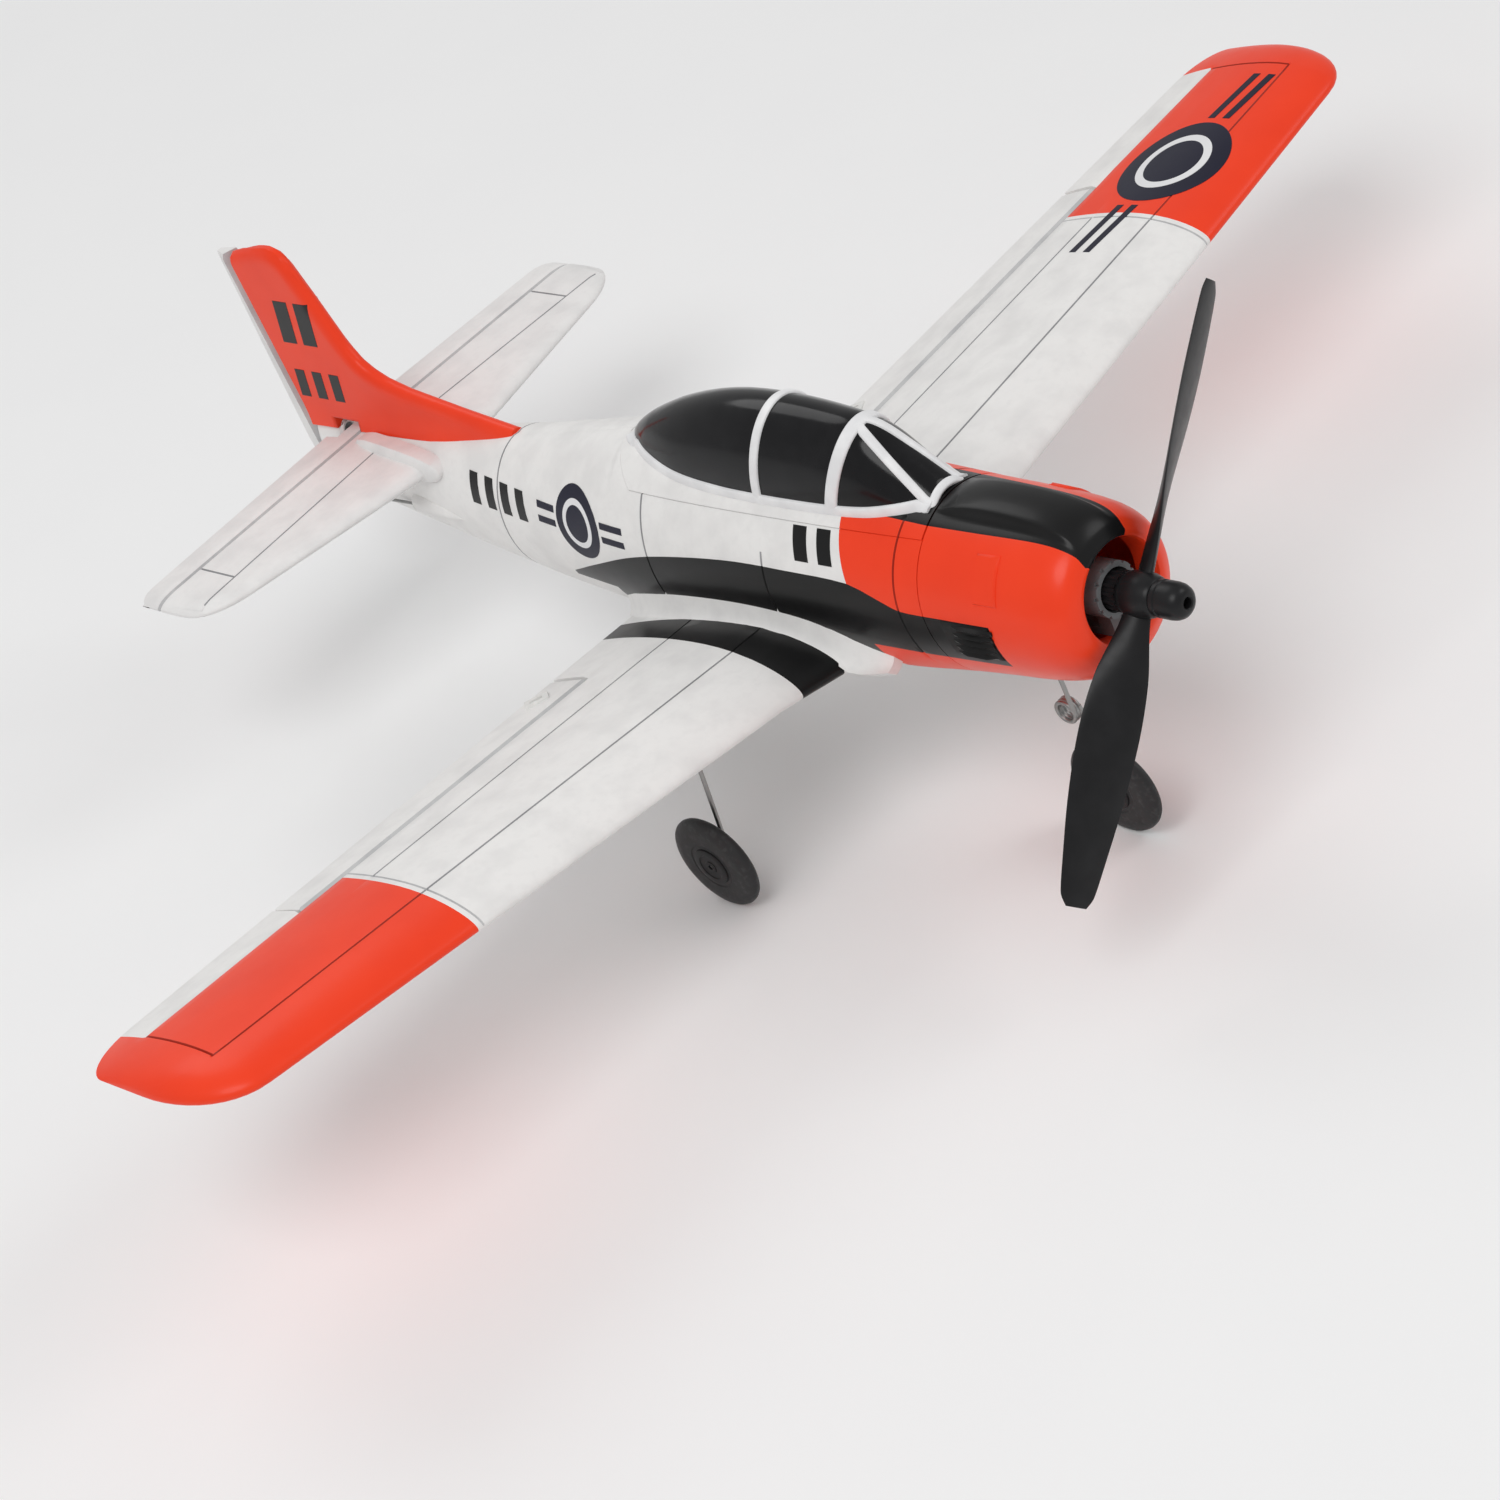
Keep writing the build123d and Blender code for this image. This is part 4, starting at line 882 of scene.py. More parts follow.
def build_hatch():
    """Top deck that lifts off with the canopy."""
    skin = Skin()
    stations = ringed(knots([SEAM_Y + HATCH_GAP, HATCH_EDGE_Y, 55.5, 63.6], [9, 18, 8]), [-31.6])
    outer = []
    inner = []
    for y in stations:
        low = min(seam_angle(y) + 0.7, 88.6)
        anti = max(min(angle_at_x(y, 9.4), 86.0), low + 3.0) if y < -13.0 else low + (90.0 - low) * 0.4
        angles = knots([low, anti, 90.0], [5, 7])
        left = []
        under = []
        for k, angle in enumerate(angles):
            deep = LINE_DEPTH if abs(y + 31.6) < 0.01 and k < 6 else 0.0
            at = slanted(y, hull(y, angle)[2])
            left.append(hull_sunk(at, angle, deep))
            bx, _, bz = hull(at, angle, FOAM_WALL)
            under.append((bx, at, max(bz, left[0][2] + 0.02 * k)))
        outer.append(mirrored(left))
        inner.append(mirrored(under))

    def paint(j, i):
        middle = (stations[j] + stations[j + 1]) / 2
        row = min(i, 23 - i)
        # grooves are painted darker: painted shade
        groove = abs(middle + 31.6) < LINE_W and row < 5
        if middle < HATCH_EDGE_Y:
            return shade("red" if row < 5 else "black", groove)
        return "white foam"

    # the inside faces are painted darker grey: painted shade
    skin.slab(outer, inner, paint, back=lambda j, i: "shaded inner foam")
    return skin.piece("hatch_deck_skin", "canopy_hatch", "hatch_deck", sharp=35.0)


def build_cowl():
    """Moulded nose bowl: rounded lip, top ridge, side panels and slotted black vents."""
    skin = Skin()
    counts = len(cowl_angles(-55.0))
    lip = [(-79.75, 12.3), (-79.6, 11.7), (-79.0, 11.38), (-78.0, MOUTH_R), (-73.0, MOUTH_R)]
    ys = ringed(knots([SEAM_Y - 0.25, -58.0, -70.0, -75.0, -78.3, -79.5], [12, 6, 4, 4, 3]), [])
    grid = []
    for y in reversed(ys):
        row = cowl_angles(y)
        left = [hull(y, angle) for angle in row]
        grid.append(mirrored(left, 1))
    for y, radius in lip:
        row = cowl_angles(-79.5)
        left = [(radius * math.cos(math.radians(a)), y, radius * math.sin(math.radians(a))) for a in row]
        grid.append(mirrored(left, 1))
    for y in (-73.0, -70.0, -62.0, -51.0, SEAM_Y - 0.25):
        row = cowl_angles(y)
        left = [hull(y, angle, COWL_WALL) for angle in row]
        grid.append(mirrored(left, 1))
    count = len(grid[0])
    outer_rings = len(ys)

    def paint(j, i):
        row = i if i < counts - 1 else count - 1 - i
        y = grid[j][0][1]
        if j >= outer_rings + 1:
            return "cowl red"
        if COWL_COUNTS[0] <= row < COWL_COUNTS[0] + COWL_COUNTS[1] and y > -57.8 and j < outer_rings:
            return "black paint"
        if row >= sum(COWL_COUNTS[:3]):
            return "black paint"
        return "cowl red"

    for j in range(len(grid)):
        nxt = (j + 1) % len(grid)
        for i in range(count):
            n = (i + 1) % count
            skin.face([grid[j][i], grid[j][n], grid[nxt][n], grid[nxt][i]], paint(j, i))
    for skin.side in (1, -1):
        add_patch(skin, (-55.0, -61.5), (6.0, 14.8), 0.5, "cowl red")
        add_vents(skin)
    return skin.piece("nose_cowl_skin", "airframe", "nose_cowl", sharp=38.0)


def cowl_angles(y):
    """Angles of the rows of the cowl skin: keel, swoosh, side, ridge, top."""
    held = min(max(y, -70.0), SEAM_Y)
    low = angle_at_height(held, curve(SWOOSH_LOW, held))
    high = angle_at_height(held, curve(SWOOSH_UP, held))
    edge = angle_at_x(y, curve([(-79.5, 6.8), (-76.0, 7.5), (-70.0, 8.0), (-57.8, 8.7), (-38.6, 9.4)], y))
    return knots([-90.0, low, high, edge, angle_at_x(y, 6.6), angle_at_x(y, 5.2), 90.0], COWL_COUNTS)


def add_patch(skin, span, heights, proud, paint):
    """Raised panel on the fuselage side with bevelled edges."""
    y0, y1 = span
    z0, z1 = heights
    bevel = 0.35
    steps_y = [y0, y0 + math.copysign(bevel, y1 - y0), (y0 + y1) / 2, y1 - math.copysign(bevel, y1 - y0), y1]
    steps_z = [z0, z0 + bevel] + spread(z0 + 2.0, z1 - 1.0, 4) + [z1 - bevel, z1]
    outer = []
    inner = []
    for j, y in enumerate(steps_y):
        row = []
        back = []
        for i, z in enumerate(steps_z):
            edge = j in (0, len(steps_y) - 1) or i in (0, len(steps_z) - 1)
            angle = angle_at_height(y, z)
            row.append(hull_sunk(y, angle, -0.1 if edge else -proud))
            back.append(hull_sunk(y, angle, 0.6))
        outer.append(row)
        inner.append(back)
    skin.slab(outer, inner, lambda j, i: paint)


def add_vents(skin):
    """Black vent block on the low cowl side: four ridges with open slots between them."""
    # the block's base, seen in the slots between the ridges, is painted darker black: painted shade
    add_patch(skin, (-43.6, -57.6), (-8.6, 0.9), 0.35, "black groove")
    for k in range(5):
        z = -7.6 + 1.85 * k
        rings = []
        for t in range(9):
            y = -45.2 - 0.5 * k - t * 1.42
            taper = min(t, 8 - t, 2) / 2
            out = hull_sunk(y, angle_at_height(y, z), -0.45 - 0.75 * taper)
            low = hull_sunk(y, angle_at_height(y, z - 0.85), -0.3)
            high = hull_sunk(y, angle_at_height(y, z + 0.5), -0.3)
            back = hull_sunk(y, angle_at_height(y, z), 0.4)
            rings.append([low, out, high, back])
        skin.loops(rings, lambda j, i: "black paint")


# ---------------------------------------------------------------- canopy
def bubble(y, angle, grow=0.0):
    """Point of the canopy on the left side."""
    top, half, widest = [curve(CANOPY, y, column) for column in (1, 2, 3)]
    reach = top - widest if angle > 0 else 12.0
    return Vector(((half + grow) * math.cos(math.radians(angle)), y,
                   widest + (reach + grow) * math.sin(math.radians(angle))))


def bubble_frame(y, angle):
    """Surface point with its outward, lengthwise and girthwise directions."""
    step = 0.05
    point = bubble(y, angle)
    along = (bubble(y + step, angle) - bubble(y - step, angle)).normalized()
    girth = (bubble(y, angle + step * 10) - bubble(y, angle - step * 10)).normalized()
    out = girth.cross(along).normalized()
    if out.dot(Vector((math.cos(math.radians(angle)), 0, math.sin(math.radians(angle))))) < 0:
        out = -out
    return point, out, along, girth


def build_glazing():
    """Smooth dark canopy bubble with a wall of its own."""
    skin = Skin()
    stations = knots([-36.6, -20.0, 40.0, 62.3], [16, 34, 18])
    angles = knots([-22.0, 10.0, 90.0], [4, 16])
    outer = []
    inner = []
    for y in stations:
        left = [tuple(bubble(y, a)) for a in angles]
        back = [tuple(bubble(y, a, -1.2)) for a in angles]
        outer.append(mirrored(left))
        inner.append(mirrored(back))
    skin.slab(outer, inner, lambda j, i: "glazing")
    return skin.piece("canopy_glazing", "canopy_hatch", "canopy_panes", sharp=50.0)


def ribbon(skin, path, wide, proud=0.65, cross="along"):
    """Raised rounded strip along a path of (y, angle) places on the bubble."""
    profile = [(-0.5, -0.5), (-0.5, 0.45), (-0.42, 0.8), (-0.28, 1.0), (0.28, 1.0), (0.42, 0.8), (0.5, 0.45),
               (0.5, -0.5)]
    rings = []
    for y, angle, mirror in path:
        point, out, along, girth = bubble_frame(y, angle)
        deck = Vector(hull(y, angle_at_x(y, point.x)))
        if cross == "girth" and point.z < deck.z:
            share = min(deck.z - point.z, 1.0)
            level = Vector((deck.x, 0, deck.z - section(y)[3])).normalized()
            out = out.lerp(level, share).normalized()
            girth = out.cross(along).normalized()
            point = deck
        side = along if cross == "along" else girth
        ring = []
        for across, high in profile:
            at = point + side * across * wide + out * high * proud
            ring.append((at.x * mirror, at.y, at.z))
        rings.append(ring)
    skin.loops(rings, lambda j, i: "frame white")


def hoop_path(y_top, z_top, y_low, z_low):
    """Places on the bubble where a leaning plane crosses it, from the left sill over to the right."""
    lean = (y_low - y_top) / (z_low - z_top)
    left = []
    for angle in knots([-8.0, 90.0], [26]):
        y = y_low
        for _ in range(12):
            y = y_top + lean * (bubble(y, angle).z - z_top)
        left.append((y, angle))
    return [(y, a, 1) for y, a in left] + [(y, a, -1) for y, a in reversed(left[:-1])]


def build_canopy_frame():
    """White frame: sill, windscreen arch, middle hoop and windscreen bars."""
    skin = Skin()
    arch = hoop_path(-18.5, 35.5, -11.0, 18.5)
    ribbon(skin, arch, 3.4)
    ribbon(skin, hoop_path(7.0, 37.6, 11.8, 18.8), 2.5)
    for mirror in (1, -1):
        sill = []
        for y in knots([-37.0, -20.0, 45.0, 62.2], [10, 26, 12]):
            sill.append((y, min(deck_angle(y), 26.0), mirror))
        ribbon(skin, sill, 3.0, cross="girth")
        bar = []
        for t in knots([0.0, 1.0], [14]):
            y = -37.0 + 18.0 * t
            x = 4.0 * (1 - t) ** 0.6 + 1.0
            half = curve(CANOPY, y, 2)
            bar.append((y, math.degrees(math.acos(min(x / half, 1.0))), mirror))
        ribbon(skin, bar, 2.5, cross="girth")
    low = 30.0
    across = [(-36.9, a) for a in knots([low, 89.9], [10])]
    ribbon(skin, [(y, a, 1) for y, a in across] + [(y, a, -1) for y, a in reversed(across)], 2.0)
    return skin.piece("canopy_frame_rails", "canopy_hatch", "canopy_frame", sharp=60.0)


def deck_angle(y):
    """Where the bubble meets the top deck."""
    low, high = -20.0, 85.0
    for _ in range(24):
        middle = (low + high) / 2
        at = bubble(y, middle)
        deck = hull(y, angle_at_x(y, at.x))[2]
        low, high = (middle, high) if at.z < deck + 0.5 else (low, middle)
    return low


# ---------------------------------------------------------------- tail
def tail_front(x):
    line = 138.6 + 0.235 * max(x, 9.0)
    past = max(x - (TAIL_SPAN - 13.0), 0.0) / 13.0
    return line + 9.0 * (1 - math.sqrt(max(1 - past**2, 0.0)))


def tail_rear(x):
    past = max(x - (TAIL_SPAN - 6.0), 0.0) / 6.0
    return 188.6 - 0.03 * x - 5.0 * (1 - math.sqrt(max(1 - past**2, 0.0)))


def tail_half(x, y):
    """Half thickness of the tailplane and elevator."""
    full = 0.5 * (TAIL_THICK - 0.9 * x / TAIL_SPAN)
    past = max(x - 68.0, 0.0) / (TAIL_SPAN - 68.0)
    full *= math.sqrt(max(1 - past**2.5, 0.05))
    nose = min(max((y - tail_front(x)) / 5.0, 0.0), 1.0)
    full *= max(math.sqrt(max(1 - (1 - nose) ** 2, 0.0)), 0.02)
    if y > ELEVATOR_Y:
        back = (y - ELEVATOR_Y) / (tail_rear(x) - ELEVATOR_Y)
        full *= 1 - 0.62 * back
    return full


def tail_columns(inner):
    steps = knots([inner, 12.0, 60.3], [2, 10]) + [60.6, 60.9, 64.0, 67.0]
    return steps + [69.5, 71.5, 73.0, 74.2, 75.0, TAIL_SPAN]


def build_tailplane():
    """Fixed tailplane with a round nose and its panel lines."""
    skin = Skin()
    columns = tail_columns(0.0)
    top = []
    low = []
    for x in columns:
        front = tail_front(x)
        rear = ELEVATOR_Y - 0.1
        line = 163.6 - 0.04 * x
        if front > line - 1.0:
            line = front + (rear - front) * 0.45
        squeeze = min(1.0, (line - front) / 24.0)
        rows = [front + d * squeeze for d in (0.0, 0.08, 0.3, 0.8, 1.6, 2.8, 4.5, 8.0)]
        rows += [rows[-1] + (line - LINE_W - rows[-1]) * k for k in (0.35, 0.7, 1.0)]
        rows += [line, line + LINE_W]
        rows += [rows[-1] + (rear - rows[-1]) * k for k in (0.4, 0.75, 1.0)]
        upper = []
        lower = []
        for i, y in enumerate(rows):
            sink = LINE_DEPTH if i == 11 and x < 72.0 or x == 60.6 and i > 11 else 0.0
            half = tail_half(x, y)
            upper.append((x, y, TAIL_Z + half - sink * (half > 1.0)))
            lower.append((x, y, TAIL_Z - half))
        top.append(upper)
        low.append(lower)

    def paint(j, i):
        # the panel line and the rib groove are painted darker grey: painted shade
        line = i in (10, 11) and columns[j] < 71.0
        rib = 60.2 < columns[j] < 60.8 and i > 11
        return "groove" if line or rib else "tail foam"

    for skin.side in (1, -1):
        skin.slab(top, low, paint, back=lambda j, i: "tail foam")
        add_root_pad(skin)
    return skin.piece("tailplane_skin", "airframe", "tailplane", sharp=35.0)


def add_root_pad(skin):
    """Rounded white pad that seats the tailplane root on the fuselage side."""
    outer = []
    inner = []
    stations = [136.42, 136.6, 137.0, 137.8, 139.0, 141.5, 145.0, 152.0, 160.0, 168.0, 173.0, 175.2]
    for y in stations:
        ends = math.sqrt(max(1 - ((y - 156.0) / 19.6) ** 4, 0.0))
        side_x = hull(y, 30.0)[0]
        row = []
        back = []
        for k in range(11):
            turn = math.radians(-70.0 + 140.0 * k / 10)
            reach = 1.3 + 2.6 * ends * math.cos(turn)
            row.append((side_x - 1.2 + reach, y, TAIL_Z + 0.2 + 4.2 * ends * math.sin(turn)))
            back.append((side_x - 3.0, y, TAIL_Z + 0.2 + 3.8 * ends * math.sin(turn)))
        outer.append(row)
        inner.append(back)
    skin.slab(outer, inner, lambda j, i: "tail foam")


def build_elevator():
    """One-piece elevator, raked at its hinge and open round the rudder."""
    skin = Skin()
    columns = [0.0, 5.6] + tail_columns(8.0)
    hinge = ELEVATOR_Y + 0.1
    top = []
    low = []
    for x in columns:
        half = tail_half(x, ELEVATOR_Y - 0.5)
        top_start = hinge + (TAIL_THICK / 2 + half) * TAIL_LEAN
        low_start = hinge + (TAIL_THICK / 2 - half) * TAIL_LEAN
        if half < TAIL_THICK / 2:
            low_start += 0.05  # keeps the thinner tips clear of the tailplane
        rear = tail_rear(x)
        upper = []
        lower = []
        for k in (0.0, 0.05, 0.3, 0.63, 0.85, 0.96, 1.0):
            y_top = top_start + (rear - top_start) * k
            y_low = low_start + (rear - low_start) * k
            if k == 0.63:
                y_top = y_low = 183.5
            upper.append((x, y_top, TAIL_Z + tail_half(x, y_top) - (0.25 if k == 0.0 else 0.0)))
            lower.append((x, y_low, TAIL_Z - tail_half(x, y_low)))
        top.append(upper)
        low.append(lower)

    def keep(j, i):
        return not (j == 0 and i >= 3)

    for skin.side in (1, -1):
        # the raked hinge face is painted grey: painted shade
        skin.slab(top, low, lambda j, i: "tail foam", keep, front="pale shade")
    return skin.piece("elevator_skin", "elevator", "elevator", sharp=35.0)


def fin_edge_distance(y, z):
    """Distance from a place on the fin to its front or top edge."""
    best = 99.0
    for (ya, za), (yb, zb) in zip(FIN_TOP, FIN_TOP[1:]):
        run = (yb - ya, zb - za)
        t = ((y - ya) * run[0] + (z - za) * run[1]) / (run[0] ** 2 + run[1] ** 2)
        t = min(max(t, 0.0), 1.0)
        best = min(best, math.hypot(y - ya - t * run[0], z - za - t * run[1]))
    return best


def fin_half(y, z, round_r=3.2):
    """Half thickness of the fin: rounded edge, and a flared foot on the fuselage."""
    away = min(fin_edge_distance(y, z) / round_r, 1.0)
    plain = FIN_HALF * math.sqrt(max(1 - (1 - away) ** 2, 0.0))
    ground = section(y)[0] - 1.2
    lift = min(max((z - ground) / 6.5, 0.0), 1.0)
    flare = curve([(112.0, 0.3), (140.0, 1.9), (175.0, 1.0), (197.4, 0.5)], y) * (1 - lift) ** 2
    return plain + flare * (0.25 + 0.75 * away)


def build_fin():
    """Fin with its long dorsal fillet."""
    skin = Skin()
    columns = knots([112.0, 150.0, 158.0, 168.0, 178.0, 197.4], [14, 5, 14, 10, 8])
    left = []
    right = []
    for y in columns:
        top = curve(FIN_TOP, y)
        foot = section(y)[0] - 1.2
        row = []
        for k in knots([0.0, 0.5, 0.85, 1.0], [8, 7, 8]):
            z = foot + (top - foot) * k
            row.append((fin_half(y, z), y, z))
        left.append(row)
        right.append([(-x, at, z) for x, at, z in row])
    skin.slab(left, right, lambda j, i: "red paint")
    add_foot(skin)
    made = skin.piece("fin_skin", "airframe", "vertical_fin", sharp=50.0)
    carve(made, (-12.0, 175.6, 0.2), (12.0, 185.6, 10.0))
    return made


def add_foot(skin):
    """Painted foot that spreads from the fin over the top of the fuselage."""
    outer = []
    inner = []
    for y in knots([114.6, 118.0, 140.0, 175.0], [6, 10, 12]):
        reach = curve(FIN_FOOT, y)
        row = []
        back = []
        for k in range(-10, 11):
            x = reach * k / 10
            angle = angle_at_x(y, abs(x))
            edge = 0.05 if abs(k) == 10 else 0.16
            for line, deep in ((row, -edge), (back, 0.5)):
                point = hull_sunk(y, angle, deep)
                line.append((math.copysign(point[0], x), point[1], point[2]))
        outer.append(row)
        inner.append(back)
    skin.slab(outer, inner, lambda j, i: "red paint")


def build_rudder():
    """Rudder with a raked hinge face, thinned to its trailing edge."""
    skin = Skin()
    front = RUDDER_Y + 0.2
    left = []
    right = []
    for k in knots([0.0, 0.08, 0.92, 1.0], [4, 16, 4]):
        z = -13.4 + (57.9 + 13.4) * k
        rear = curve(RUDDER_REAR, z)
        end = min(z + 13.6, 58.3 - z) / 1.4
        half = FIN_HALF * (0.72 + 0.28 * min(end, 1.0))
        rows = knots([0.0, 0.1, 1.0], [1, 4])
        one = []
        other = []
        for t in rows:
            y = front + (rear - front) * t
            thick = half * (1 - 0.62 * t)
            lean = 2 * half * TAIL_LEAN * (1 - t)
            one.append((thick - (0.2 if t == 0.0 else 0.0), y, z))
            other.append((-thick, min(y + lean, rear), z))
        left.append(one)
        right.append(other)
    # the raked hinge face is painted grey: painted shade
    skin.slab(left, right, lambda j, i: "tail foam", front="pale shade")
    return skin.piece("rudder_skin", "rudder", "rudder", sharp=35.0)


# ---------------------------------------------------------------- turned parts
def turned(skin, profile, axis, centre, paint, count=64):
    """Ring of faces round the X or Y axis from a closed profile of (place along the axis, radius)."""
    for k in range(count):
        quads = []
        for turn in (2 * math.pi * k / count, 2 * math.pi * (k + 1) / count):
            line = []
            for along, radius in profile:
                a = radius * math.cos(turn)
                b = radius * math.sin(turn)
                offset = (along, a, b) if axis == "x" else (a, along, b)
                line.append(tuple(c + o for c, o in zip(centre, offset)))
            quads.append(line)
        for i in range(len(profile)):
            n = (i + 1) % len(profile)
            skin.face([quads[0][i], quads[0][n], quads[1][n], quads[1][i]], paint)


def build_wheel(place_name, body, centre):
    """Wheel: foam disc with sloping shoulders, and a hub with a raised face and an axle hole."""
    tyre = Skin()
    half = [(0.0, 12.2), (0.35, 12.18), (0.8, 11.95), (1.2, 11.45), (1.62, 10.3), (1.82, 9.6), (1.9, 9.0),
            (1.9, 6.2), (1.72, 5.9), (1.72, 5.5), (1.86, 5.2), (1.86, 5.0)]
    profile = half + [(-x, r) for x, r in reversed(half[1:])]
    turned(tyre, profile, "x", centre, "tyre", 72)
    tyre.piece("tyre_" + place_name + "_ring", body, "tyre_" + place_name, sharp=30.0)
    hub = Skin()
    half = [(0.0, 5.0), (1.95, 5.0), (2.2, 4.9), (2.3, 4.65), (2.3, 3.4), (2.1, 3.2), (2.1, 1.7), (2.3, 1.5),
            (2.3, 0.75), (2.2, 0.62)]
    profile = half + [(-x, r) for x, r in reversed(half[1:])]
    turned(hub, profile, "x", centre, "hub", 48)
    hub.piece("hub_" + place_name + "_disc", body, "hub_" + place_name, sharp=30.0)


def add_blade(skin, lean):
    """Twisted blade with a cambered section and a soft tip."""
    out = Vector((math.sin(lean), 0, math.cos(lean)))
    travel = Vector((-out.z, 0, out.x))
    top = []
    low = []
    for r in knots([3.0, 60.0, 66.2], [26, 8]):
        chord, pitch, thick = [curve(BLADE, r, column) for column in (1, 2, 3)]
        tip = max(r - 63.4, 0.0) / 2.8
        chord *= 1 - 0.22 * tip**2
        turn = math.radians(pitch)
        across = travel * math.cos(turn) + Vector((0, -1, 0)) * math.sin(turn)
        normal = across.cross(out)
        front = []
        back = []
        for k in range(13):
            t = k / 12
            share = (1 - math.cos(math.pi * t)) / 2
            bow = 4 * share * (1 - share)
            at = Vector((0, PROP_Y, 0)) + out * r + across * chord * (0.42 - share)
            front.append(tuple(at + normal * thick * (0.62 * bow**0.6)))
            back.append(tuple(at - normal * thick * (0.38 * bow**0.8)))
        top.append(front)
        low.append(back)
    skin.slab(top, low, lambda j, i: "satin black")


def build_propeller():
    """Two-blade propeller with its bulb hub, and the nose cap with its grooves."""
    skin = Skin()
    add_blade(skin, PROP_LEAN)
    add_blade(skin, PROP_LEAN + math.pi)
    turned(skin, [(-81.0, 1.0), (-81.0, 4.1), (-81.3, 4.45), (-83.0, 4.95), (-84.5, 5.1), (-86.3, 5.08),
                  (-87.6, 4.85), (-88.9, 4.45), (-89.8, 4.15), (-90.0, 3.9), (-90.0, 1.0)], "y", (0, 0, 0),
           "satin black", 56)
    skin.piece("propeller_blades", "propeller", "propeller", sharp=42.0)
    cap = Skin()
    turned(cap, [(-90.05, 1.02), (-90.05, 3.9), (-90.3, 4.1), (-91.2, 4.1), (-91.4, 3.85), (-91.8, 3.85),
                 (-92.0, 4.1), (-94.4, 4.1), (-95.6, 3.95), (-96.7, 3.5), (-97.4, 2.8), (-97.75, 2.0),
                 (-97.8, 1.5), (-97.6, 1.25), (-95.8, 1.15), (-95.7, 0.3), (-91.05, 0.3), (-91.0, 1.02)],
           "y", (0, 0, 0), "satin black", 56)
    cap.piece("nose_cap_shell", "propeller", "nose_cap", sharp=38.0)


# ---------------------------------------------------------------- marks
def wing_mark(skin, outline, lift, paint):
    """Thin mark on the upper wing from a grid of (x, y) places."""
    outer = [[wing_at(x, share_at(x, y), 1, -lift) for x, y in row] for row in outline]
    inner = [[wing_at(x, share_at(x, y), 1, 0.1) for x, y in row] for row in outline]
    skin.slab(outer, inner, lambda j, i: paint)


def side_mark(skin, outline, lift, paint):
    """Thin mark on the fuselage side from a grid of (y, z) places."""
    outer = [[hull_sunk(y, angle_at_height(y, z), -lift) for y, z in row] for row in outline]
    inner = [[hull_sunk(y, angle_at_height(y, z), 0.1) for y, z in row] for row in outline]
    skin.slab(outer, inner, lambda j, i: paint)


def fin_mark(skin, outline, lift, paint):
    """Thin mark on the fin from a grid of (y, z) places."""
    outer = [[(fin_half(y, z) + lift, y, z) for y, z in row] for row in outline]
    inner = [[(fin_half(y, z) - 0.1, y, z) for y, z in row] for row in outline]
    skin.slab(outer, inner, lambda j, i: paint)


def ring_grid(centre, inner_r, outer_r, count=72, rings=6):
    """Flat ring of places round a centre."""
    grid = []
    for k in range(rings + 1):
        radius = inner_r + (outer_r - inner_r) * k / rings
        row = []
        for i in range(count + 1):
            turn = 2 * math.pi * (i % count) / count
            row.append((centre[0] + radius * math.cos(turn), centre[1] + radius * math.sin(turn)))
        grid.append(row)
    return grid


def slant_grid(corners, across, along):
    """Grid of places inside four corners."""
    a, b, c, d = [Vector(corner) for corner in corners]
    grid = []
    for j in range(along + 1):
        start = a.lerp(d, j / along)
        end = b.lerp(c, j / along)
        grid.append([tuple(start.lerp(end, i / across)) for i in range(across + 1)])
    return grid


def build_marks():
    """Plain generic marks: ringed discs, pinstripes and slanted bars."""
    wing = Skin()
    wing_mark(wing, ring_grid((148.1, 24.3), 0.02, 15.1, rings=10), 0.07, "navy mark")
    wing_mark(wing, ring_grid((148.1, 24.3), 8.0, 10.2, rings=2), 0.1, "white mark")
    for x0, x1 in ((113.5, 131.4), (165.0, 182.5)):
        for y in (21.9, 26.7):
            near, far = [y - 0.12 * (x - 148) for x in (x0, x1)]
            box = [(x0, near - 1.1), (x1, far - 1.1), (x1, far + 1.1), (x0, near + 1.1)]
            wing_mark(wing, slant_grid(box, 14, 3), 0.07, "navy mark")
    wing.piece("wing_marks", "airframe", sharp=60.0)
    body = Skin()
    for body.side in (1, -1):
        side_mark(body, ring_grid((76.8, 4.6), 0.02, 8.6, rings=8), 0.07, "navy mark")
        side_mark(body, ring_grid((76.8, 4.6), 4.4, 5.8, rings=2), 0.1, "white mark")
        for y0, y1 in ((58.6, 67.2), (86.4, 93.6)):
            for z in (2.9, 6.3):
                box = [(y0, z - 0.8), (y1, z - 0.8), (y1, z + 0.8), (y0, z + 0.8)]
                side_mark(body, slant_grid(box, 8, 3), 0.07, "navy mark")
        for k in range(4):
            y = 99.0 + 6.9 * k
            box = [(y, 0.6), (y + 3.6, 0.6), (y + 4.6, 7.6), (y + 1.0, 7.6)]
            side_mark(body, slant_grid(box, 4, 8), 0.07, "black paint")
        for k in range(2):
            y = -13.2 + 7.4 * k
            box = [(y, 8.6), (y + 4.2, 8.6), (y + 5.6, 14.9), (y + 1.4, 14.9)]
            side_mark(body, slant_grid(box, 4, 8), 0.07, "black paint")
    body.piece("fuselage_marks", "airframe", sharp=60.0)
    fin = Skin()
    for fin.side in (1, -1):
        for k in range(2):
            y = 172.5 + 8.6 * k
            box = [(y + 4.6, 32.5), (y + 10.4, 32.5), (y + 6.0, 45.5), (y + 0.2, 45.5)]
            fin_mark(fin, slant_grid(box, 6, 8), 0.07, "black paint")
        for k in range(3):
            y = 174.4 + 7.2 * k
            box = [(y + 3.0, 15.5), (y + 7.0, 15.5), (y + 4.4, 24.0), (y + 0.4, 24.0)]
            fin_mark(fin, slant_grid(box, 6, 8), 0.07, "black paint")
    fin.piece("fin_marks", "airframe", sharp=60.0)


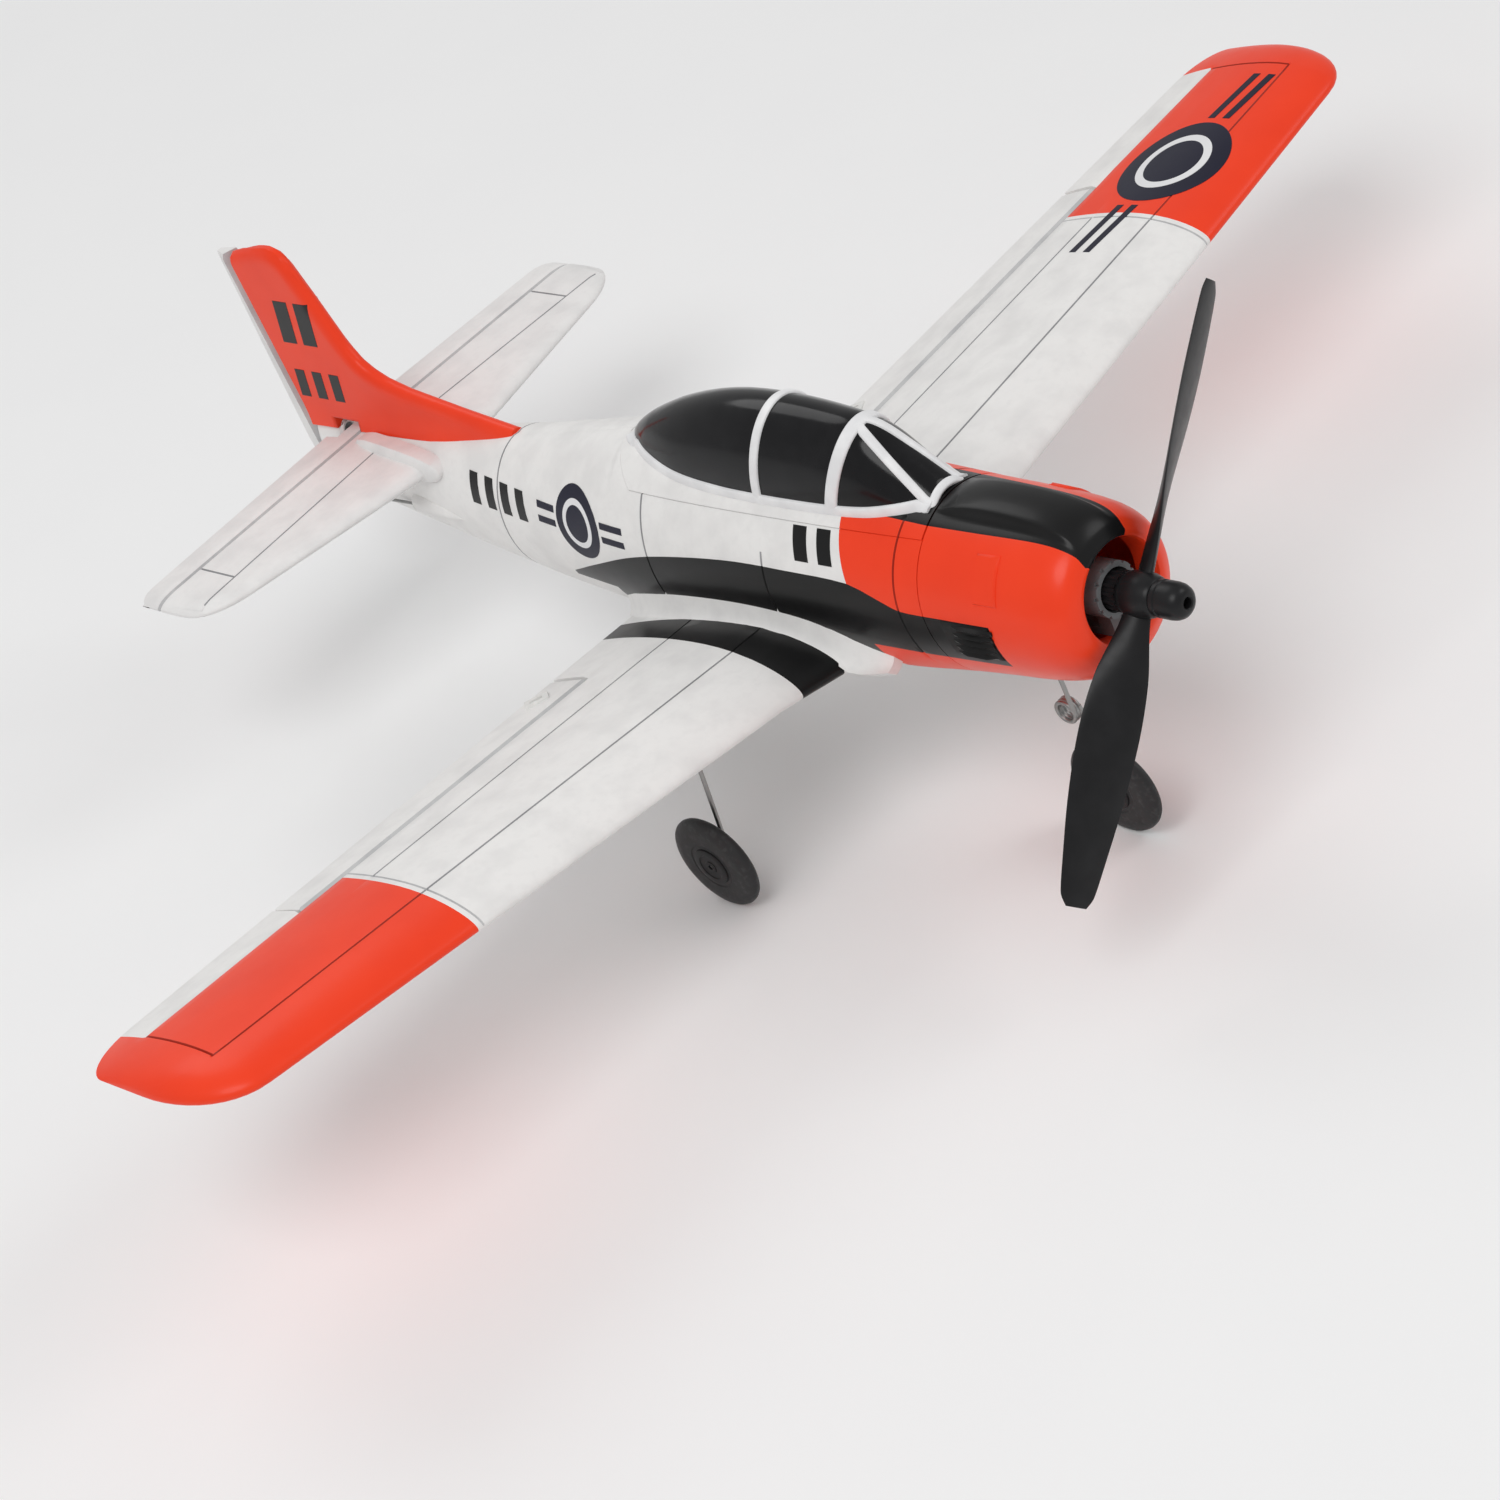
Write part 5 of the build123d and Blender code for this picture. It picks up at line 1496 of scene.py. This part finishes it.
# ---------------------------------------------------------------- CAD nodes that keep their shape
KEPT = {
    "wing_spars": "carbon", "firewall": "plywood", "gearbox_frame": "grey nylon", "motor_can": "motor can",
    "shaft_bearings": "bearing", "gearbox_screws": "steel shaft", "battery_pack": "battery",
    "battery_tray": "plywood", "flight_board": "circuit", "elevator_servo": "servo case",
    "rudder_servo": "servo case", "aileron_servo": "servo case", "main_gear_leg_left": "steel wire",
    "main_gear_leg_right": "steel wire", "nose_gear_leg": "steel wire", "main_gear_sockets": "white nylon",
    "nose_gear_socket": "grey nylon", "axle_collars": "hub", "pushrod_guides": "white nylon",
    "hatch_seat_magnets": "nickel", "hatch_magnets": "nickel", "prop_adapter": "satin black",
    "prop_shaft": "steel shaft", "spur_gear": "white nylon", "motor_pinion": "brass",
    "aileron_horn_left": "white nylon", "aileron_horn_right": "white nylon", "aileron_slider": "white nylon",
    "aileron_pushrod_left": "steel wire", "aileron_pushrod_right": "steel wire",
    "elevator_horn": "white nylon", "elevator_pushrod": "steel wire", "elevator_servo_arm": "white nylon",
    "rudder_horn": "white nylon", "rudder_pushrod": "steel wire", "rudder_servo_arm": "white nylon",
}


def finish_kept_nodes():
    """Detailed materials for the CAD nodes whose shape is already right."""
    for name, paint in KEPT.items():
        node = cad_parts[name]
        for slot in node.material_slots:
            slot.material = MATERIALS[paint]


# ---------------------------------------------------------------- stage
def build_stage():
    """Pale floor, a white world and soft lights."""
    floor = bpy.data.meshes.new("floor")
    side = 6.0
    floor.from_pydata([(-side, -side, 0), (side, -side, 0), (side, side, 0), (-side, side, 0)], [],
                      [(0, 1, 2, 3)])
    made = bpy.data.objects.new("floor", floor)
    pale = Recipe("pale_floor", (0.92, 0.92, 0.92), 0.7)
    pale.mottle(pale.ramp(pale.noise(60.0), 0.4, 0.7), (0.90, 0.90, 0.905), 0.4)
    floor.materials.append(pale.material)
    bpy.context.scene.collection.objects.link(made)
    world = bpy.data.worlds.new("studio")
    world.use_nodes = True
    world.node_tree.nodes["Background"].inputs["Color"].default_value = (1.0, 1.0, 1.0, 1.0)
    world.node_tree.nodes["Background"].inputs["Strength"].default_value = 0.5
    bpy.context.scene.world = world
    lights = [
        ((-0.9, -0.5, 1.5), 1.0, 10.5), ((1.1, -1.1, 1.2), 0.9, 5.0), ((0.3, 1.3, 1.4), 1.0, 4.5),
    ]
    for number, (at, size, power) in enumerate(lights):
        data = bpy.data.lights.new("soft_%d" % number, "AREA")
        data.shape = "DISK"
        data.size = size
        data.energy = power
        lamp = bpy.data.objects.new("soft_%d" % number, data)
        lamp.location = at
        aim = Vector((0, 0, 0.07)) - Vector(at)
        lamp.rotation_euler = aim.to_track_quat("-Z", "Y").to_euler()
        bpy.context.scene.collection.objects.link(lamp)
    bpy.context.scene.view_settings.view_transform = "Standard"


def build_camera():
    """Camera at the viewing angle of the reference: above, ahead and to the right."""
    right = Vector((0.64524, -0.69664, -0.31360))
    down = Vector((-0.61579, -0.23129, -0.75320))
    forward = Vector((0.45218, 0.67911, -0.57822))
    turn = Matrix((right, -down, -forward)).transposed().to_4x4()
    data = bpy.data.cameras.new("view")
    data.lens = 95.575
    data.sensor_width = 36.0
    data.clip_start = 0.01
    camera = bpy.data.objects.new("view", data)
    camera.matrix_world = Matrix.Translation((-0.44403, -0.6494, 0.5497)) @ turn
    bpy.context.scene.collection.objects.link(camera)
    bpy.context.scene.camera = camera


# ---------------------------------------------------------------- the aeroplane
build_camera()
build_stage()
build_wing()
build_aileron("aileron_left", 1)
build_aileron("aileron_right", -1)
build_fuselage("fuselage_left", 1)
build_fuselage("fuselage_right", -1)
build_hatch()
build_cowl()
build_glazing()
build_canopy_frame()
build_tailplane()
build_elevator()
build_fin()
build_rudder()
build_wheel("nose", "nose_wheel", (-1.0, -53.3, -58.3))
build_wheel("main_left", "main_wheel_left", (57.0, 20.8, -52.4))
build_wheel("main_right", "main_wheel_right", (-57.0, 20.8, -52.4))
build_propeller()
build_marks()
finish_kept_nodes()
